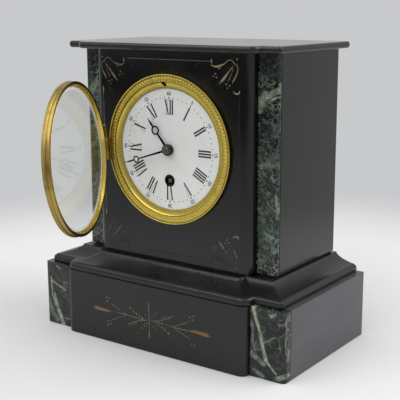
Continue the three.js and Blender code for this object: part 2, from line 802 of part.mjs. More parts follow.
function addDoor() {
  const wallInner = doorRadius - doorWall;
  const lipBack = doorFront + doorLipThickness;
  const ring = turned([
    [wallInner, doorBack], [doorRadius - doorBead, doorBack], [doorRadius, doorBack - doorBead],
    [doorRadius, doorFront + doorBead], [doorRadius - doorBead, doorFront], [wallInner, doorFront],
    [doorSightRadius, lipBack - doorLipEdge], [doorSightRadius, lipBack], [wallInner, lipBack],
  ]);
  const knuckleBottom = fixedKnuckleTop + seatGap;
  const knuckleTop = knuckleBottom + doorKnuckleLength;
  const sweep = post(
    fixedKnuckleRadius + seatGap, fixedKnuckleBottom - seatGap, knuckleBottom, hingeX, hingeY,
  );
  const knuckle = post(doorKnuckleRadius, knuckleBottom, knuckleTop, hingeX, hingeY);
  const leafFront = hingeY - doorKnuckleRadius;
  const leaf = block(hingeX, hingeX + hingeLeaf, leafFront, doorBack, knuckleBottom, knuckleTop);
  const bore = post(
    hingePinRadius + pivotClearance, knuckleBottom - overrun, knuckleTop + overrun, hingeX, hingeY,
  );
  add('door_ring', cut(join(ring, leaf, knuckle), sweep, bore), brass, doorGroup);
  const glassFront = lipBack + seatGap;
  const glassBack = glassFront + glassThickness;
  const glassRadius = wallInner - seatGap;
  add('door_glass', turned([
    [0, glassFront], [glassRadius - glassBevel, glassFront], [glassRadius, glassFront + glassBevel],
    [glassRadius, glassBack], [0, glassBack],
  ]), glazing, doorGroup);
  const retainerFront = glassBack + seatGap;
  add('door_retaining_ring', turned([
    [doorSlopeRadius, retainerFront], [glassRadius, retainerFront], [glassRadius, doorBack],
    [glassRadius - doorBead, doorBack], [doorSlopeRadius, retainerFront + doorBead],
  ]), brass, doorGroup);
  const pinBottom = fixedKnuckleBottom - seatGap;
  const pinTop = knuckleTop + seatGap;
  const pin = join(
    post(hingePinRadius, pinBottom, pinTop + hingePinHeadHeight, hingeX, hingeY),
    post(hingePinHead, pinTop, pinTop + hingePinHeadHeight, hingeX, hingeY),
  );
  add('door_hinge_pin', pin, brass, bezelGroup);
}

function addDial() {
  const face = disc(dialRadius);
  face.holes.push(hole(centre, dialCentreHole), hole(barrelAt, windingHole, ringSides / 2));
  add('dial', plate(face, dialFace, dialBack), enamel, movement);
  const backing = disc(dialRadius);
  const arborHole = windingHole - grommetWall;
  backing.holes.push(hole(centre, dialCentreHole), hole(barrelAt, arborHole, ringSides / 4));
  const feet = dialFootAngles.map((angle) => {
    const place = polar(dialFootPitch, radians(angle));
    const foot = rod(dialFootRadius, dialPlateBack - dialPlateThickness / 2, frontPlateFace - seatGap);
    return foot.translate(place.x, 0, place.y);
  });
  add('dial_plate', join(plate(backing, dialBack, dialPlateBack), ...feet), brass, movement);
  const outer = windingHole - seatGap / 2;
  const inner = windingHole - grommetWall;
  add('winding_grommet', turned([
    [inner, dialFace - grommetLip / 2], [(inner + outer) / 2, dialFace - grommetLip],
    [outer, dialFace - grommetLip / 2], [outer, dialBack], [inner, dialBack],
  ], ringSides / 2), blued, movement, barrelAt);
}

function platePivots() {
  const small = pivotRadius + pivotClearance;
  const pivots = [intermediateAt, thirdAt, escapeAt].map((place) => hole(place, small));
  return [...pivots, hole(barrelAt, barrelArborRadius + pivotClearance)];
}

function addPlates() {
  const front = disc(plateRadius);
  front.holes.push(...platePivots(), hole(centre, centreFrontRadius + pivotClearance));
  front.holes.push(hole(palletAt, pivotRadius + pivotClearance));
  pillarAngles.forEach((angle) => {
    front.holes.push(hole(polar(pillarPitch, radians(angle)), pillarWaist + pivotClearance));
  });
  const studFront = frontPlateFace - minutePinionLength - minuteWheelSetback;
  const stud = rod(minuteStudRadius, studFront, frontPlateInner);
  stud.translate(minuteAt.x, 0, minuteAt.y);
  add('front_plate', join(plate(front, frontPlateFace, frontPlateInner), stud), brass, movement);
  const rear = disc(plateRadius);
  rear.holes.push(...platePivots(), hole(centre, pivotRadius + pivotClearance));
  rear.holes.push(hole(palletAt, crutchHubRadius));
  const pillarFront = frontPlateFace - pillarPinLength;
  const shoulder = frontPlateInner + seatGap;
  const pillars = pillarAngles.map((angle) => {
    const place = polar(pillarPitch, radians(angle));
    const pillar = turned([
      [0, pillarFront], [pillarWaist, pillarFront], [pillarWaist, shoulder], [pillarRadius, shoulder],
      [pillarRadius, rearPlateInner + plateThickness / 2], [0, rearPlateInner + plateThickness / 2],
    ], arborSides);
    return pillar.translate(place.x, 0, place.y);
  });
  add('rear_plate', join(plate(rear, rearPlateInner, rearPlateBack), ...pillars), brass, movement);
}

function addBarrel() {
  const wheelMiddle = frontPlateInner + greatWheelDepth;
  const drumFront = wheelMiddle - wheelThickness / 2;
  const drumBack = drumFront + barrelDepth;
  const floor = drumFront + wheelThickness;
  const coverSeat = drumBack - barrelCoverThickness;
  const bore = barrelArborRadius + pivotClearance;
  const inner = barrelRadius - barrelWall;
  const drum = turned([
    [bore, drumFront], [barrelRadius, drumFront], [barrelRadius, drumBack], [inner, drumBack],
    [inner, floor], [bore, floor],
  ], ringSides / 2);
  const teeth = toothed(greatTeeth, greatModule, headingTo(barrelAt, intermediateAt));
  teeth.holes.push(hole(centre, barrelRadius - barrelWall / 2, ringSides / 2));
  const wheel = plate(teeth, drumFront, floor);
  add('barrel', join(wheel, drum), brass, movement, barrelAt);
  const coverRadius = inner - seatGap;
  const cover = tube(coverRadius, bore, coverSeat, drumBack, ringSides / 2);
  add('barrel_cover', cover, brass, movement, barrelAt);
  const arborFront = dialBack - windingEndSetback;
  const squareBack = dialPlateBack + windingSquare;
  const half = windingSquare / 2;
  const square = block(-half, half, arborFront, squareBack, -half, half);
  const hubFront = floor + seatGap;
  const hubBack = coverSeat - seatGap;
  const shaft = turned([
    [0, squareBack - half], [barrelArborRadius, squareBack - half], [barrelArborRadius, hubFront],
    [barrelHubRadius, hubFront], [barrelHubRadius, hubBack], [barrelArborRadius, hubBack],
    [barrelArborRadius, rearPlateBack], [0, rearPlateBack],
  ], arborSides);
  add('barrel_arbor', join(square, shaft), steel, movement, barrelAt);
  add('mainspring', mainspring(inner - seatGap, hubFront, hubBack), steel, movement, barrelAt);
}

// A spiral strip that leaves the arbor's hub and ends at the barrel's wall
function mainspring(outer, front, back) {
  const inner = barrelHubRadius + seatGap + springThickness;
  const steps = springTurns * springStepsPerTurn;
  const outside = [];
  const inside = [];
  for (let i = 0; i <= steps; i += 1) {
    const angle = 2 * Math.PI * i / springStepsPerTurn;
    const radius = inner + (outer - inner) * i / steps;
    outside.push(polar(radius, angle));
    inside.push(polar(radius - springThickness, angle));
  }
  return plate(new THREE.Shape([...outside, ...inside.reverse()]), front, back);
}

function addWindingWork() {
  const back = frontPlateFace - seatGap;
  const wheelFront = back - ratchetThickness;
  const ratchet = pointed(ratchetTeeth, ratchetRadius, ratchetToothDepth, ratchetLeanShare);
  ratchet.holes.push(hole(centre, barrelArborRadius + seatGap / 2));
  add('ratchet_wheel', plate(ratchet, wheelFront, back), steel, movement, barrelAt);
  const clickAt = barrelAt.clone().add(new THREE.Vector2(clickPitch, 0));
  const toe = ratchetRadius + seatGap - clickPitch;
  const click = new THREE.Shape([
    ...arc(centre, clickHubRadius, -Math.PI * 2 / 3, Math.PI * 2 / 3, 2 * arcSteps),
    new THREE.Vector2(toe, clickNoseWidth),
    new THREE.Vector2(toe, clickNoseWidth / 2),
  ]);
  click.holes.push(hole(centre, clickScrewRadius + seatGap / 2));
  add('click', plate(click, back - clickThickness, back), steel, movement, clickAt);
  const headBack = back - clickThickness - seatGap;
  const screw = join(
    rod(clickScrewRadius, headBack, frontPlateFace),
    rod(clickHubRadius, headBack - seatGap - clickScrewRadius, headBack),
  );
  add('click_screw', screw, steel, movement, clickAt);
  const springLeft = clickHubRadius + seatGap;
  const spring = new THREE.Shape([
    new THREE.Vector2(springLeft, 0),
    new THREE.Vector2(springLeft + clickSpringWidth, 0),
    new THREE.Vector2(springLeft + clickSpringWidth, clickSpringLength - clickSpringFoot),
    new THREE.Vector2(springLeft + clickSpringFoot, clickSpringLength - clickSpringFoot),
    new THREE.Vector2(springLeft + clickSpringFoot, clickSpringLength),
    new THREE.Vector2(springLeft, clickSpringLength),
  ]);
  add('click_spring', plate(spring, back - clickThickness, back), steel, movement, clickAt);
}

function addTrain() {
  const depth = (middle) => frontPlateInner + middle;
  const intermediatePinion = pinion(
    greatPinionLeaves, greatModule, headingTo(intermediateAt, barrelAt) + Math.PI / greatPinionLeaves,
    depth(greatWheelDepth),
    2 * (greatWheelDepth - seatGap),
  );
  const intermediateWheel = crossedWheel(
    intermediateTeeth, intermediateModule, headingTo(intermediateAt, centre), depth(intermediateWheelDepth),
  );
  const intermediate = join(arbor(), intermediatePinion, intermediateWheel);
  add('intermediate_wheel', intermediate, brass, movement, intermediateAt);

  const centrePinion = pinion(
    centrePinionLeaves, intermediateModule,
    headingTo(centre, intermediateAt) + Math.PI / centrePinionLeaves,
    depth(intermediateWheelDepth),
  );
  const centreWheel = crossedWheel(
    centreTeeth, centreModule, headingTo(centre, thirdAt), depth(centreWheelDepth),
  );
  const tip = dialFace - minuteHandStand - handThickness - seatGap;
  const centreArbor = join(arbor(), rod(centreFrontRadius, tip, frontPlateInner + seatGap + arborRadius));
  add('centre_wheel', join(centreArbor, centrePinion, centreWheel), brass, movement);

  const thirdPinion = pinion(
    thirdPinionLeaves, centreModule, headingTo(thirdAt, centre) + Math.PI / thirdPinionLeaves,
    depth(centreWheelDepth),
  );
  const thirdWheel = crossedWheel(
    thirdTeeth, thirdModule, headingTo(thirdAt, escapeAt), depth(thirdWheelDepth),
  );
  add('third_wheel', join(arbor(), thirdPinion, thirdWheel), brass, movement, thirdAt);

  const escapePinion = pinion(
    escapePinionLeaves, thirdModule, headingTo(escapeAt, thirdAt) + Math.PI / escapePinionLeaves,
    depth(thirdWheelDepth),
  );
  const crown = crossOut(
    pointed(escapeTeeth, escapeRadius, escapeToothDepth, escapeLeanShare),
    escapeRadius - escapeToothDepth - rimWidth / 2,
  );
  const middle = depth(escapeWheelDepth);
  const escapeWheel = plate(crown, middle - wheelThickness / 2, middle + wheelThickness / 2);
  add('escape_wheel', join(arbor(), escapePinion, escapeWheel), brass, movement, escapeAt);
}

// Anchor with two pallets that stand over the escape wheel, on an arbor that carries the crutch
function addEscapement() {
  const nib = escapeRadius + palletClearance;
  const spread = radians(palletAngle);
  const wheelDrop = escapeRise - palletRise;
  const nibX = nib * Math.sin(spread);
  const nibZ = nib * Math.cos(spread) + wheelDrop;
  const right = [
    new THREE.Vector2(anchorHubRadius, 0), new THREE.Vector2(nibX + palletWidth, nibZ + palletWidth),
    new THREE.Vector2(nibX + palletWidth, nibZ), new THREE.Vector2(nibX, nibZ),
    new THREE.Vector2(nibX, nibZ + palletWidth), new THREE.Vector2(0, -anchorHubRadius),
  ];
  const left = right.slice(0, -1).map((point) => new THREE.Vector2(-point.x, point.y)).reverse();
  const arms = new THREE.Shape([...right, ...left, new THREE.Vector2(0, anchorHubRadius)]);
  const middle = frontPlateInner + escapeWheelDepth;
  const anchor = plate(arms, middle - anchorThickness / 2, middle + anchorThickness / 2);
  const crutchFront = rearPlateBack + crutchSetback;
  const crutchBack = crutchFront + crutchThickness;
  const cockFace = rearPlateBack + cockSetback;
  const shaft = turned([
    [0, frontPlateFace + seatGap], [pivotRadius, frontPlateFace + seatGap],
    [pivotRadius, frontPlateInner + seatGap], [arborRadius, frontPlateInner + seatGap],
    [arborRadius, cockFace - seatGap], [pivotRadius, cockFace - seatGap],
    [pivotRadius, cockFace + cockThickness - seatGap], [0, cockFace + cockThickness - seatGap],
  ], arborSides);
  add('anchor', join(anchor, shaft), steel, movement, palletAt);
  const hub = tube(crutchHubRadius, arborRadius + seatGap / 2, crutchFront, crutchBack);
  const armTop = -(crutchHubRadius + arborRadius) / 2;
  const arm = block(
    -crutchWidth / 2, crutchWidth / 2, crutchFront, crutchBack, -crutchLength - crutchWidth / 2, armTop,
  );
  const pin = rod(crutchPinRadius, crutchFront, rearPlateBack + pendulumSetback + rodEyeRadius);
  add('crutch', join(hub, arm, pin.translate(0, 0, -crutchLength)), brass, movement, palletAt);
}

// Bridge behind the rear plate, with the lug that carries the regulator's arbor
function addCock() {
  const face = rearPlateBack + cockSetback;
  const back = face + cockThickness;
  const half = cockHeight / 2;
  const bar = new THREE.Shape([
    ...arc(new THREE.Vector2(cockWidth / 2 - half, 0), half, -Math.PI / 2, Math.PI / 2, arcSteps),
    ...arc(new THREE.Vector2(half - cockWidth / 2, 0), half, Math.PI / 2, 3 * Math.PI / 2, arcSteps),
  ]);
  bar.holes.push(hole(centre, pivotRadius + pivotClearance));
  const legs = [-1, 1].map((side) => {
    const leg = rod(cockLegRadius, rearPlateBack, face + cockThickness / 2);
    return leg.translate(side * cockLegPitch, 0, 0);
  });
  const lugTop = regulatorPitch - palletRise + regulatorLugRise;
  const lug = block(-regulatorLugWidth / 2, regulatorLugWidth / 2, face, back, 0, lugTop);
  const lugHole = rod(regulatorRadius + pivotClearance, face - overrun, back + overrun);
  const pivot = rod(pivotRadius + pivotClearance, face - overrun, back + overrun);
  const bridge = join(plate(bar, face, back), lug, ...legs);
  const drilled = cut(bridge, lugHole.translate(0, 0, regulatorPitch - palletRise), pivot);
  add('rear_cock', drilled, brass, movement, palletAt);
  const blockFront = back + jointGap;
  const cheek = block(
    -blockWidth / 2, blockWidth / 2, blockFront, blockFront + blockDepth,
    blockRise, blockRise + blockHeight,
  );
  const slit = block(
    -blockSlot / 2, blockSlot / 2, blockFront - overrun, blockFront + blockDepth + overrun,
    blockRise - overrun, suspensionTop + seatGap,
  );
  const middle = rearPlateBack + pendulumSetback;
  const thread = post(
    ratingScrewRadius + pivotClearance, suspensionTop + 2 * seatGap, blockRise + blockHeight + overrun,
    0, middle,
  );
  add('suspension_block', cut(cheek, slit, thread), brass, movement, palletAt);
}

function addRegulator() {
  const lugBack = rearPlateBack + cockSetback + cockThickness;
  const front = dialFace + seatGap;
  const middle = rearPlateBack + pendulumSetback;
  const wheelBack = middle - regulatorWheelRadius - seatGap;
  const wheelFront = lugBack + seatGap;
  const half = regulatorSquare / 2;
  const shaft = join(
    block(-half, half, front, front + regulatorWheelRadius + half, -half, half),
    rod(regulatorRadius, front + regulatorWheelRadius, wheelBack),
    turned([
      [0, wheelFront], [regulatorWheelRadius, wheelFront], [regulatorRadius, wheelBack + jointGap],
      [0, wheelBack + jointGap],
    ], arborSides),
  );
  const regulatorAt = new THREE.Vector2(0, regulatorPitch);
  add('regulator_arbor', shaft, steel, movement, regulatorAt);
  const screwBottom = suspensionTop + 2 * seatGap + jointGap;
  const wheelTop = regulatorPitch - palletRise - regulatorWheelRadius;
  const wheelBottom = wheelTop - ratingWheelThickness;
  const screw = join(
    post(ratingScrewRadius, screwBottom, wheelTop, 0, middle),
    post(regulatorWheelRadius - seatGap, wheelBottom, wheelTop - seatGap, 0, middle),
  );
  add('rating_screw', screw, steel, movement, palletAt);
}

function addPendulum() {
  const middle = rearPlateBack + pendulumSetback;
  const strip = block(
    -suspensionThickness / 2, suspensionThickness / 2, middle - suspensionWidth / 2,
    middle + suspensionWidth / 2, -suspensionDrop, suspensionTop,
  );
  add('suspension_spring', strip, steel, movement, palletAt);
  const clampTop = -suspensionDrop + clampHeight / 2;
  const clampBottom = clampTop - clampHeight;
  const clampHalf = clampWidth / 2;
  const clamp = cut(
    block(-clampHalf, clampHalf, middle - clampHalf, middle + clampHalf, clampBottom, clampTop),
    block(
      -suspensionThickness / 2 - seatGap, suspensionThickness / 2 + seatGap,
      middle - suspensionWidth / 2 - seatGap, middle + suspensionWidth / 2 + seatGap,
      -suspensionDrop - seatGap, clampTop + overrun,
    ),
  );
  const bobTop = -pendulumLength + bobRadius;
  const eye = rod(rodEyeRadius, middle - rodRadius, middle + rodRadius).translate(0, 0, -crutchLength);
  const stem = join(
    clamp,
    post(rodRadius, -pendulumLength - bobRadius - rodTail, clampBottom + rodRadius, 0, middle),
    eye,
  );
  const eyeHole = rod(crutchPinRadius + seatGap, middle - clampWidth, middle + clampWidth);
  add('pendulum_rod', cut(stem, eyeHole.translate(0, 0, -crutchLength)), steel, movement, palletAt);
  const half = bobThickness / 2;
  const lens = turned([
    [0, middle - half], [bobRadius - bobEdge, middle - half + bobEdge / 2], [bobRadius, middle],
    [bobRadius - bobEdge, middle + half - bobEdge / 2], [0, middle + half],
  ], ringSides / 2).translate(0, 0, -pendulumLength);
  const bobBottom = -pendulumLength - bobRadius;
  const bore = post(rodRadius + seatGap, bobBottom - overrun, bobTop + overrun, 0, middle);
  add('pendulum_bob', cut(lens, bore), brass, movement, palletAt);
}

function addMotionWork() {
  const leafBack = frontPlateFace - seatGap;
  const cannonTip = dialFace - minuteHandStand - handThickness;
  const leaves = pinion(
    cannonLeaves, cannonModule, headingTo(centre, minuteAt) + Math.PI / cannonLeaves,
    leafBack - cannonLeafLength / 2, cannonLeafLength,
  );
  const sleeve = rod(cannonRadius, cannonTip, leafBack);
  const bore = rod(cannonBore, cannonTip - overrun, leafBack + overrun);
  add('cannon_pinion', cut(join(leaves, sleeve), bore), steel, movement);

  const wheelBack = frontPlateFace - minuteWheelSetback;
  const wheelFront = wheelBack - motionWheelThickness;
  const stem = wheelBack - minutePinionLength;
  const studBore = rod(minuteStudRadius + pivotClearance, stem - overrun, wheelBack + overrun);
  const minuteGear = join(
    plate(toothed(minuteWheelTeeth, cannonModule, headingTo(minuteAt, centre)), wheelFront, wheelBack),
    pinion(
      minutePinionLeaves, hourModule, headingTo(minuteAt, centre) + Math.PI / minutePinionLeaves,
      wheelBack - minutePinionLength / 2, minutePinionLength,
    ),
  );
  add('minute_wheel', cut(minuteGear, studBore), brass, movement, minuteAt);

  const hourBack = frontPlateFace - hourWheelSetback;
  const pipeFront = dialFace - hourHandStand - handThickness;
  const hourTeeth = toothed(hourWheelTeeth, hourModule, headingTo(centre, minuteAt));
  const hourGear = join(
    plate(hourTeeth, hourBack - motionWheelThickness, hourBack),
    rod(hourPipeRadius, pipeFront, hourBack, 2 * arborSides),
  );
  const hourBore = rod(hourPipeBore, pipeFront - overrun, hourBack + overrun);
  add('hour_wheel', cut(hourGear, hourBore), brass, movement);
}

// A slim hand with an open ring and a leaf-shaped point, drawn towards twelve
function handOutline(hand, boreRadius) {
  const bossStart = Math.asin(hand.base / hand.boss);
  const ringStart = Math.asin(hand.neck / hand.ringRadius);
  const tipStart = Math.asin(hand.tip / hand.ringRadius);
  const ringCentre = new THREE.Vector2(0, hand.ringAt);
  const swellAt = hand.ringAt + hand.ringRadius + hand.swellShare * (hand.length - hand.ringAt);
  const right = [
    ...arc(centre, hand.boss, -Math.PI / 2, Math.PI / 2 - bossStart, arcSteps),
    ...arc(ringCentre, hand.ringRadius, -Math.PI / 2 + ringStart, Math.PI / 2 - tipStart, arcSteps),
    new THREE.Vector2(hand.swell, swellAt),
    new THREE.Vector2(0, hand.length),
  ];
  const left = right.slice(1, -1).map((point) => new THREE.Vector2(-point.x, point.y)).reverse();
  const shape = new THREE.Shape([...right, ...left]);
  shape.holes.push(hole(centre, boreRadius, postSides));
  shape.holes.push(hole(new THREE.Vector2(0, hand.ringAt + hand.ringHoleShift), hand.ringHole, postSides));
  return shape;
}

function addHands() {
  const hourBack = dialFace - hourHandStand;
  const hourShape = handOutline(hourHand, hourPipeRadius + seatGap / 2);
  const hour = plate(hourShape, hourBack - handThickness, hourBack);
  add('hour_hand', hour, blued, movement, centre, radians(hourHandAngle));
  const minuteBack = dialFace - minuteHandStand;
  const minuteFront = minuteBack - handThickness;
  const minute = plate(handOutline(minuteHand, cannonRadius + seatGap / 2), minuteFront, minuteBack);
  add('minute_hand', minute, blued, movement, centre, radians(minuteHandAngle));
  const colletBack = minuteFront - seatGap;
  add('hand_collet', turned([
    [0, colletBack - colletHeight], [colletRadius / 2, colletBack - colletHeight],
    [colletRadius, colletBack - colletRim], [colletRadius, colletBack],
    [centreFrontRadius + seatGap, colletBack], [centreFrontRadius + seatGap, colletBack - seatGap],
    [0, colletBack - seatGap],
  ], 2 * arborSides), blued, movement);
}

function addStraps() {
  const inner = strapOuter - strapThickness;
  const front = bezelSeat + bezelTubeLength - strapOverlap;
  const earFront = bodyRearInner - strapEarSetback;
  const earBack = earFront + strapEarThickness;
  const half = strapWidth / 2;
  [['left', -1], ['right', 1]].forEach(([hand, side]) => {
    const sorted = (a, b) => [side * a, side * b].sort((p, q) => p - q);
    const screwAt = new THREE.Vector2(side * strapScrewPitch, 0);
    const strip = block(...sorted(inner, strapOuter), front, earBack, -half, half);
    const ear = block(...sorted(strapOuter - strapEarReach, strapOuter), earFront, earBack, -half, half);
    const drill = rod(strapScrewRadius + seatGap / 2, earFront - overrun, earBack + overrun);
    const strap = cut(join(strip, ear), drill.translate(screwAt.x, 0, 0));
    add(`strap_${hand}`, strap, brass, movement);
    const headFront = rearRingFace + jointGap;
    const screw = join(
      rod(strapScrewRadius, earFront - strapEarThickness, headFront + strapScrewHeadHeight / 2),
      rod(strapScrewHead, headFront, headFront + strapScrewHeadHeight),
    );
    add(`strap_screw_${hand}`, screw, steel, movement, screwAt);
  });
}

function addRearDoor() {
  const inner = disc(rearRingRadius);
  inner.holes.push(hole(centre, rearRingInner, ringSides));
  [-1, 1].forEach((side) => {
    inner.holes.push(hole(new THREE.Vector2(side * strapScrewPitch, 0), strapScrewRadius + seatGap));
  });
  const half = rearKnuckleLength / 2;
  const low = -3 * half - seatGap;
  const high = 3 * half + seatGap;
  const knuckles = [[low, low + 2 * half], [high - 2 * half, high]].map(([bottom, top]) => join(
    post(rearKnuckleRadius, bottom, top, rearHingeX, rearHingeY),
    block(rearHingeX, rearHingeX + 2 * rearKnuckleRadius, rearRingSeat, rearHingeY, bottom, top),
  ));
  const bore = post(rearPinRadius + pivotClearance, low - overrun, high + overrun, rearHingeX, rearHingeY);
  const ring = join(plate(inner, rearRingSeat, rearRingFace), ...knuckles);
  add('rear_ring', cut(ring, bore), brass, movement);
  const face = rearDoorBack + rearDoorThickness;
  const dishRadius = rearRingInner - rearDoorDish;
  const leaf = turned([
    [0, rearDoorBack - rearDoorDish], [dishRadius - rearDoorDish, rearDoorBack - rearDoorDish],
    [dishRadius, rearDoorBack], [rearDoorRadius, rearDoorBack], [rearDoorRadius, face],
    [dishRadius, face], [dishRadius - rearDoorDish, face - rearDoorDish], [0, face - rearDoorDish],
  ]);
  const knuckle = post(rearKnuckleRadius, -half, half, rearHingeX, rearHingeY);
  const tongue = block(
    rearDoorRadius - rearHingeOffset, rearHingeX, rearDoorBack, face, -half, half,
  );
  const knob = rod(rearKnobRadius, face - rearDoorDish - rearDoorThickness / 2, face + rearKnobHeight);
  const door = join(leaf, tongue, knuckle, knob.translate(-rearKnobPitch, 0, 0));
  add('rear_door', cut(door, bore.clone()), brass, movement);
  const pin = post(rearPinRadius, low - jointGap, high + jointGap, rearHingeX, rearHingeY);
  add('rear_hinge_pin', pin, steel, movement);
}

addPlinth();
addMoulding();
addBody();
addTop();
addBezel();
addDoor();
addDial();
addPlates();
addBarrel();
addWindingWork();
addTrain();
addEscapement();
addCock();
addRegulator();
addPendulum();
addMotionWork();
addHands();
addStraps();
addRearDoor();

export default clock;
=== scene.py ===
"""Mantel clock in black slate and green marble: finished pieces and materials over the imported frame."""

from math import atan2, cos, hypot, pi, radians, sin, tau

import bmesh
import bpy
from mathutils import Matrix, Vector


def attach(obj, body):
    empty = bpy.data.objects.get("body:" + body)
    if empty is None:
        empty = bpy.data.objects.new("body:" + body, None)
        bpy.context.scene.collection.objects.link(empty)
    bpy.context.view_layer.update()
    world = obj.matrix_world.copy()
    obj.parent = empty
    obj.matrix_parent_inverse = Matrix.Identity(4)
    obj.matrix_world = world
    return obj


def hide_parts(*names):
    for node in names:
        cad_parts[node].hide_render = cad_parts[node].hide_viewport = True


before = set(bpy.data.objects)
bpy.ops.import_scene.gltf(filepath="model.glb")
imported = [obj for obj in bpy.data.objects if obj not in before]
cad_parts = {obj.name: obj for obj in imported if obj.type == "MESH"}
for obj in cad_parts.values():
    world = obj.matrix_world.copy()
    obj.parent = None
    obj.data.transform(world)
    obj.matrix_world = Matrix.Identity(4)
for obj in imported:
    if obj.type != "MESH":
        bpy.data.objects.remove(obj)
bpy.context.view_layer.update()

# Sizes are in millimetres until a piece is finished
MM = 0.001

# Places along the depth of the clock; its front looks toward minus
BODY_FACE = -39.7
BODY_FRONT = -30.9
BODY_REAR = 53.9
PLINTH_FACE = -64.5
PLINTH_FRONT = -58.5
PLINTH_REAR = 58.5
DIAL_FACE = -38.6
DIAL_BACK = -37.4
BEZEL_RIM = -42.4
BEZEL_SEAT = -39.9
DOOR_BACK = -42.7
REAR_RING_SEAT = 54.1

# Half widths of the case and its foot and head levels
FACE_HALF = 69.5
BODY_HALF = 86
BLOCK_INNER = 82.2
PLINTH_HALF = 110
BODY_LEVELS = (64.0, 217.0)
PLINTH_LEVELS = (0, 50.0)
MOTIF_MIDDLE = 140.0

# Places measured from the middle of the dial
DIAL_Z = 146.3
WINDING = (0, -22.6)
NUMERAL_FOOT = 25.7
DOT_RING = 37.9
FIGURE_RING = 40.7
HINGE = (-55.8, -43.6)
REAR_HINGE = (38.0, 56.9)
BEZEL_TURN = -4.0
DOOR_OPEN = -68.0

# How far a gilt line reaches into the stone and out of it
CUT = 0.05

LYING = Matrix.Rotation(pi / 2, 4, "X")
FRONT = Matrix.Translation((0, 0, DIAL_Z))
PRINTED = Matrix.Translation((0, 0, DIAL_Z - 0.5))
BEZEL = FRONT @ Matrix.Rotation(radians(BEZEL_TURN), 4, "Y")
HINGE_LINE = Matrix.Translation((*HINGE, 0))
DOOR = BEZEL @ HINGE_LINE @ Matrix.Rotation(radians(DOOR_OPEN), 4, "Z") @ HINGE_LINE.inverted()


# Node helpers
def srgb(text):
    """A hex colour as it reads on screen, turned into the linear values that a shader takes."""
    parts = [int(text[i:i + 2], 16) / 255 for i in (0, 2, 4)]
    return tuple(c / 12.92 if c <= 0.04045 else ((c + 0.055) / 1.055) ** 2.4 for c in parts) + (1.0,)


class Tree:
    """Adds nodes to a tree and links them by socket name; a colour may be given as its hex text."""

    def __init__(self, tree):
        self.tree = tree
        self.count = 0

    def node(self, kind, sockets=None, **settings):
        """A new node; a shader node's kind is given without its first word."""
        made = self.tree.nodes.new(kind if kind.startswith("NodeGroup") else "ShaderNode" + kind)
        made.location = (self.count * 180, -(self.count % 5) * 160)
        self.count += 1
        for key, value in settings.items():
            setattr(made, key, value)
        for key, value in (sockets or {}).items():
            self.set(made, key, value)
        return made

    def set(self, made, key, value):
        if isinstance(value, bpy.types.NodeSocket):
            self.tree.links.new(value, made.inputs[key])
        else:
            made.inputs[key].default_value = srgb(value) if isinstance(value, str) else value

    def maths(self, operation, a, b=0.0, clamp=False):
        return self.node("Math", {0: a, 1: b}, operation=operation, use_clamp=clamp).outputs[0]

    def times(self, a, b, clamp=False):
        return self.maths("MULTIPLY", a, b, clamp)

    def span(self, value, low=0.0, high=1.0, least=0.0, most=1.0, **settings):
        """A value between low and high, spread out between least and most."""
        return self.node("MapRange", {
            "Value": value, "From Min": low, "From Max": high, "To Min": least, "To Max": most,
        }, **settings).outputs[0]

    def scaled(self, vector, share):
        return self.node("VectorMath", {0: vector, 3: share}, operation="SCALE").outputs[0]

    def length(self, vector):
        return self.node("VectorMath", {0: vector}, operation="LENGTH").outputs["Value"]

    def part(self, vector, axis):
        return self.node("SeparateXYZ", {"Vector": vector}).outputs[axis]

    def spot(self):
        """The place on the object, in metres."""
        return self.node("TexCoord").outputs["Object"]

    def place(self, scale=(1, 1, 1), turn=(0, 0, 0), shift=(0, 0, 0)):
        """The place on the object, stretched, turned and shifted."""
        return self.laid(self.spot(), scale, turn, shift)

    def laid(self, vector, scale=(1, 1, 1), turn=(0, 0, 0), shift=(0, 0, 0), **settings):
        return self.node("Mapping", {
            "Vector": vector, "Scale": scale, "Rotation": turn, "Location": shift,
        }, **settings).outputs["Vector"]

    def noise(self, vector, scale, detail=4.0, roughness=0.5, distortion=0.0, output="Fac"):
        return self.node("TexNoise", {
            "Vector": vector, "Scale": scale, "Detail": detail, "Roughness": roughness, "Distortion": distortion,
        }).outputs[output]

    def wandering(self, vector, scale, detail, roughness, amount):
        """The vector, pushed about by a noise."""
        push = self.noise(vector, scale, detail, roughness, output="Color")
        push = self.node("VectorMath", {0: push, 1: (0.5, 0.5, 0.5)}, operation="SUBTRACT").outputs[0]
        return self.node("VectorMath", {0: vector, 1: self.scaled(push, amount)}, operation="ADD").outputs[0]

    def ramp(self, factor, stops):
        made = self.node("ValToRGB", {"Fac": factor})
        elements = made.color_ramp.elements
        while len(elements) < len(stops):
            elements.new(0.5)
        for element, (position, colour) in zip(elements, stops):
            element.position = position
            element.color = srgb(colour) if isinstance(colour, str) else (colour, colour, colour, 1.0)
        return made.outputs["Color"]

    def mix(self, factor, a, b):
        return self.node("Mix", {0: factor, 6: a, 7: b}, data_type="RGBA").outputs[2]


def start_group(name, inputs, outputs):
    """A tree for a new node group and its inputs: vectors where the default is None, and numbers elsewhere."""
    group = bpy.data.node_groups.new(name, "ShaderNodeTree")
    for label, default in inputs.items():
        kind = "NodeSocketVector" if default is None else "NodeSocketFloat"
        item = group.interface.new_socket(label, in_out="INPUT", socket_type=kind)
        if default is not None:
            item.default_value = default
    for label in outputs:
        group.interface.new_socket(label, in_out="OUTPUT", socket_type="NodeSocketFloat")
    t = Tree(group)
    return t, t.node("NodeGroupInput").outputs


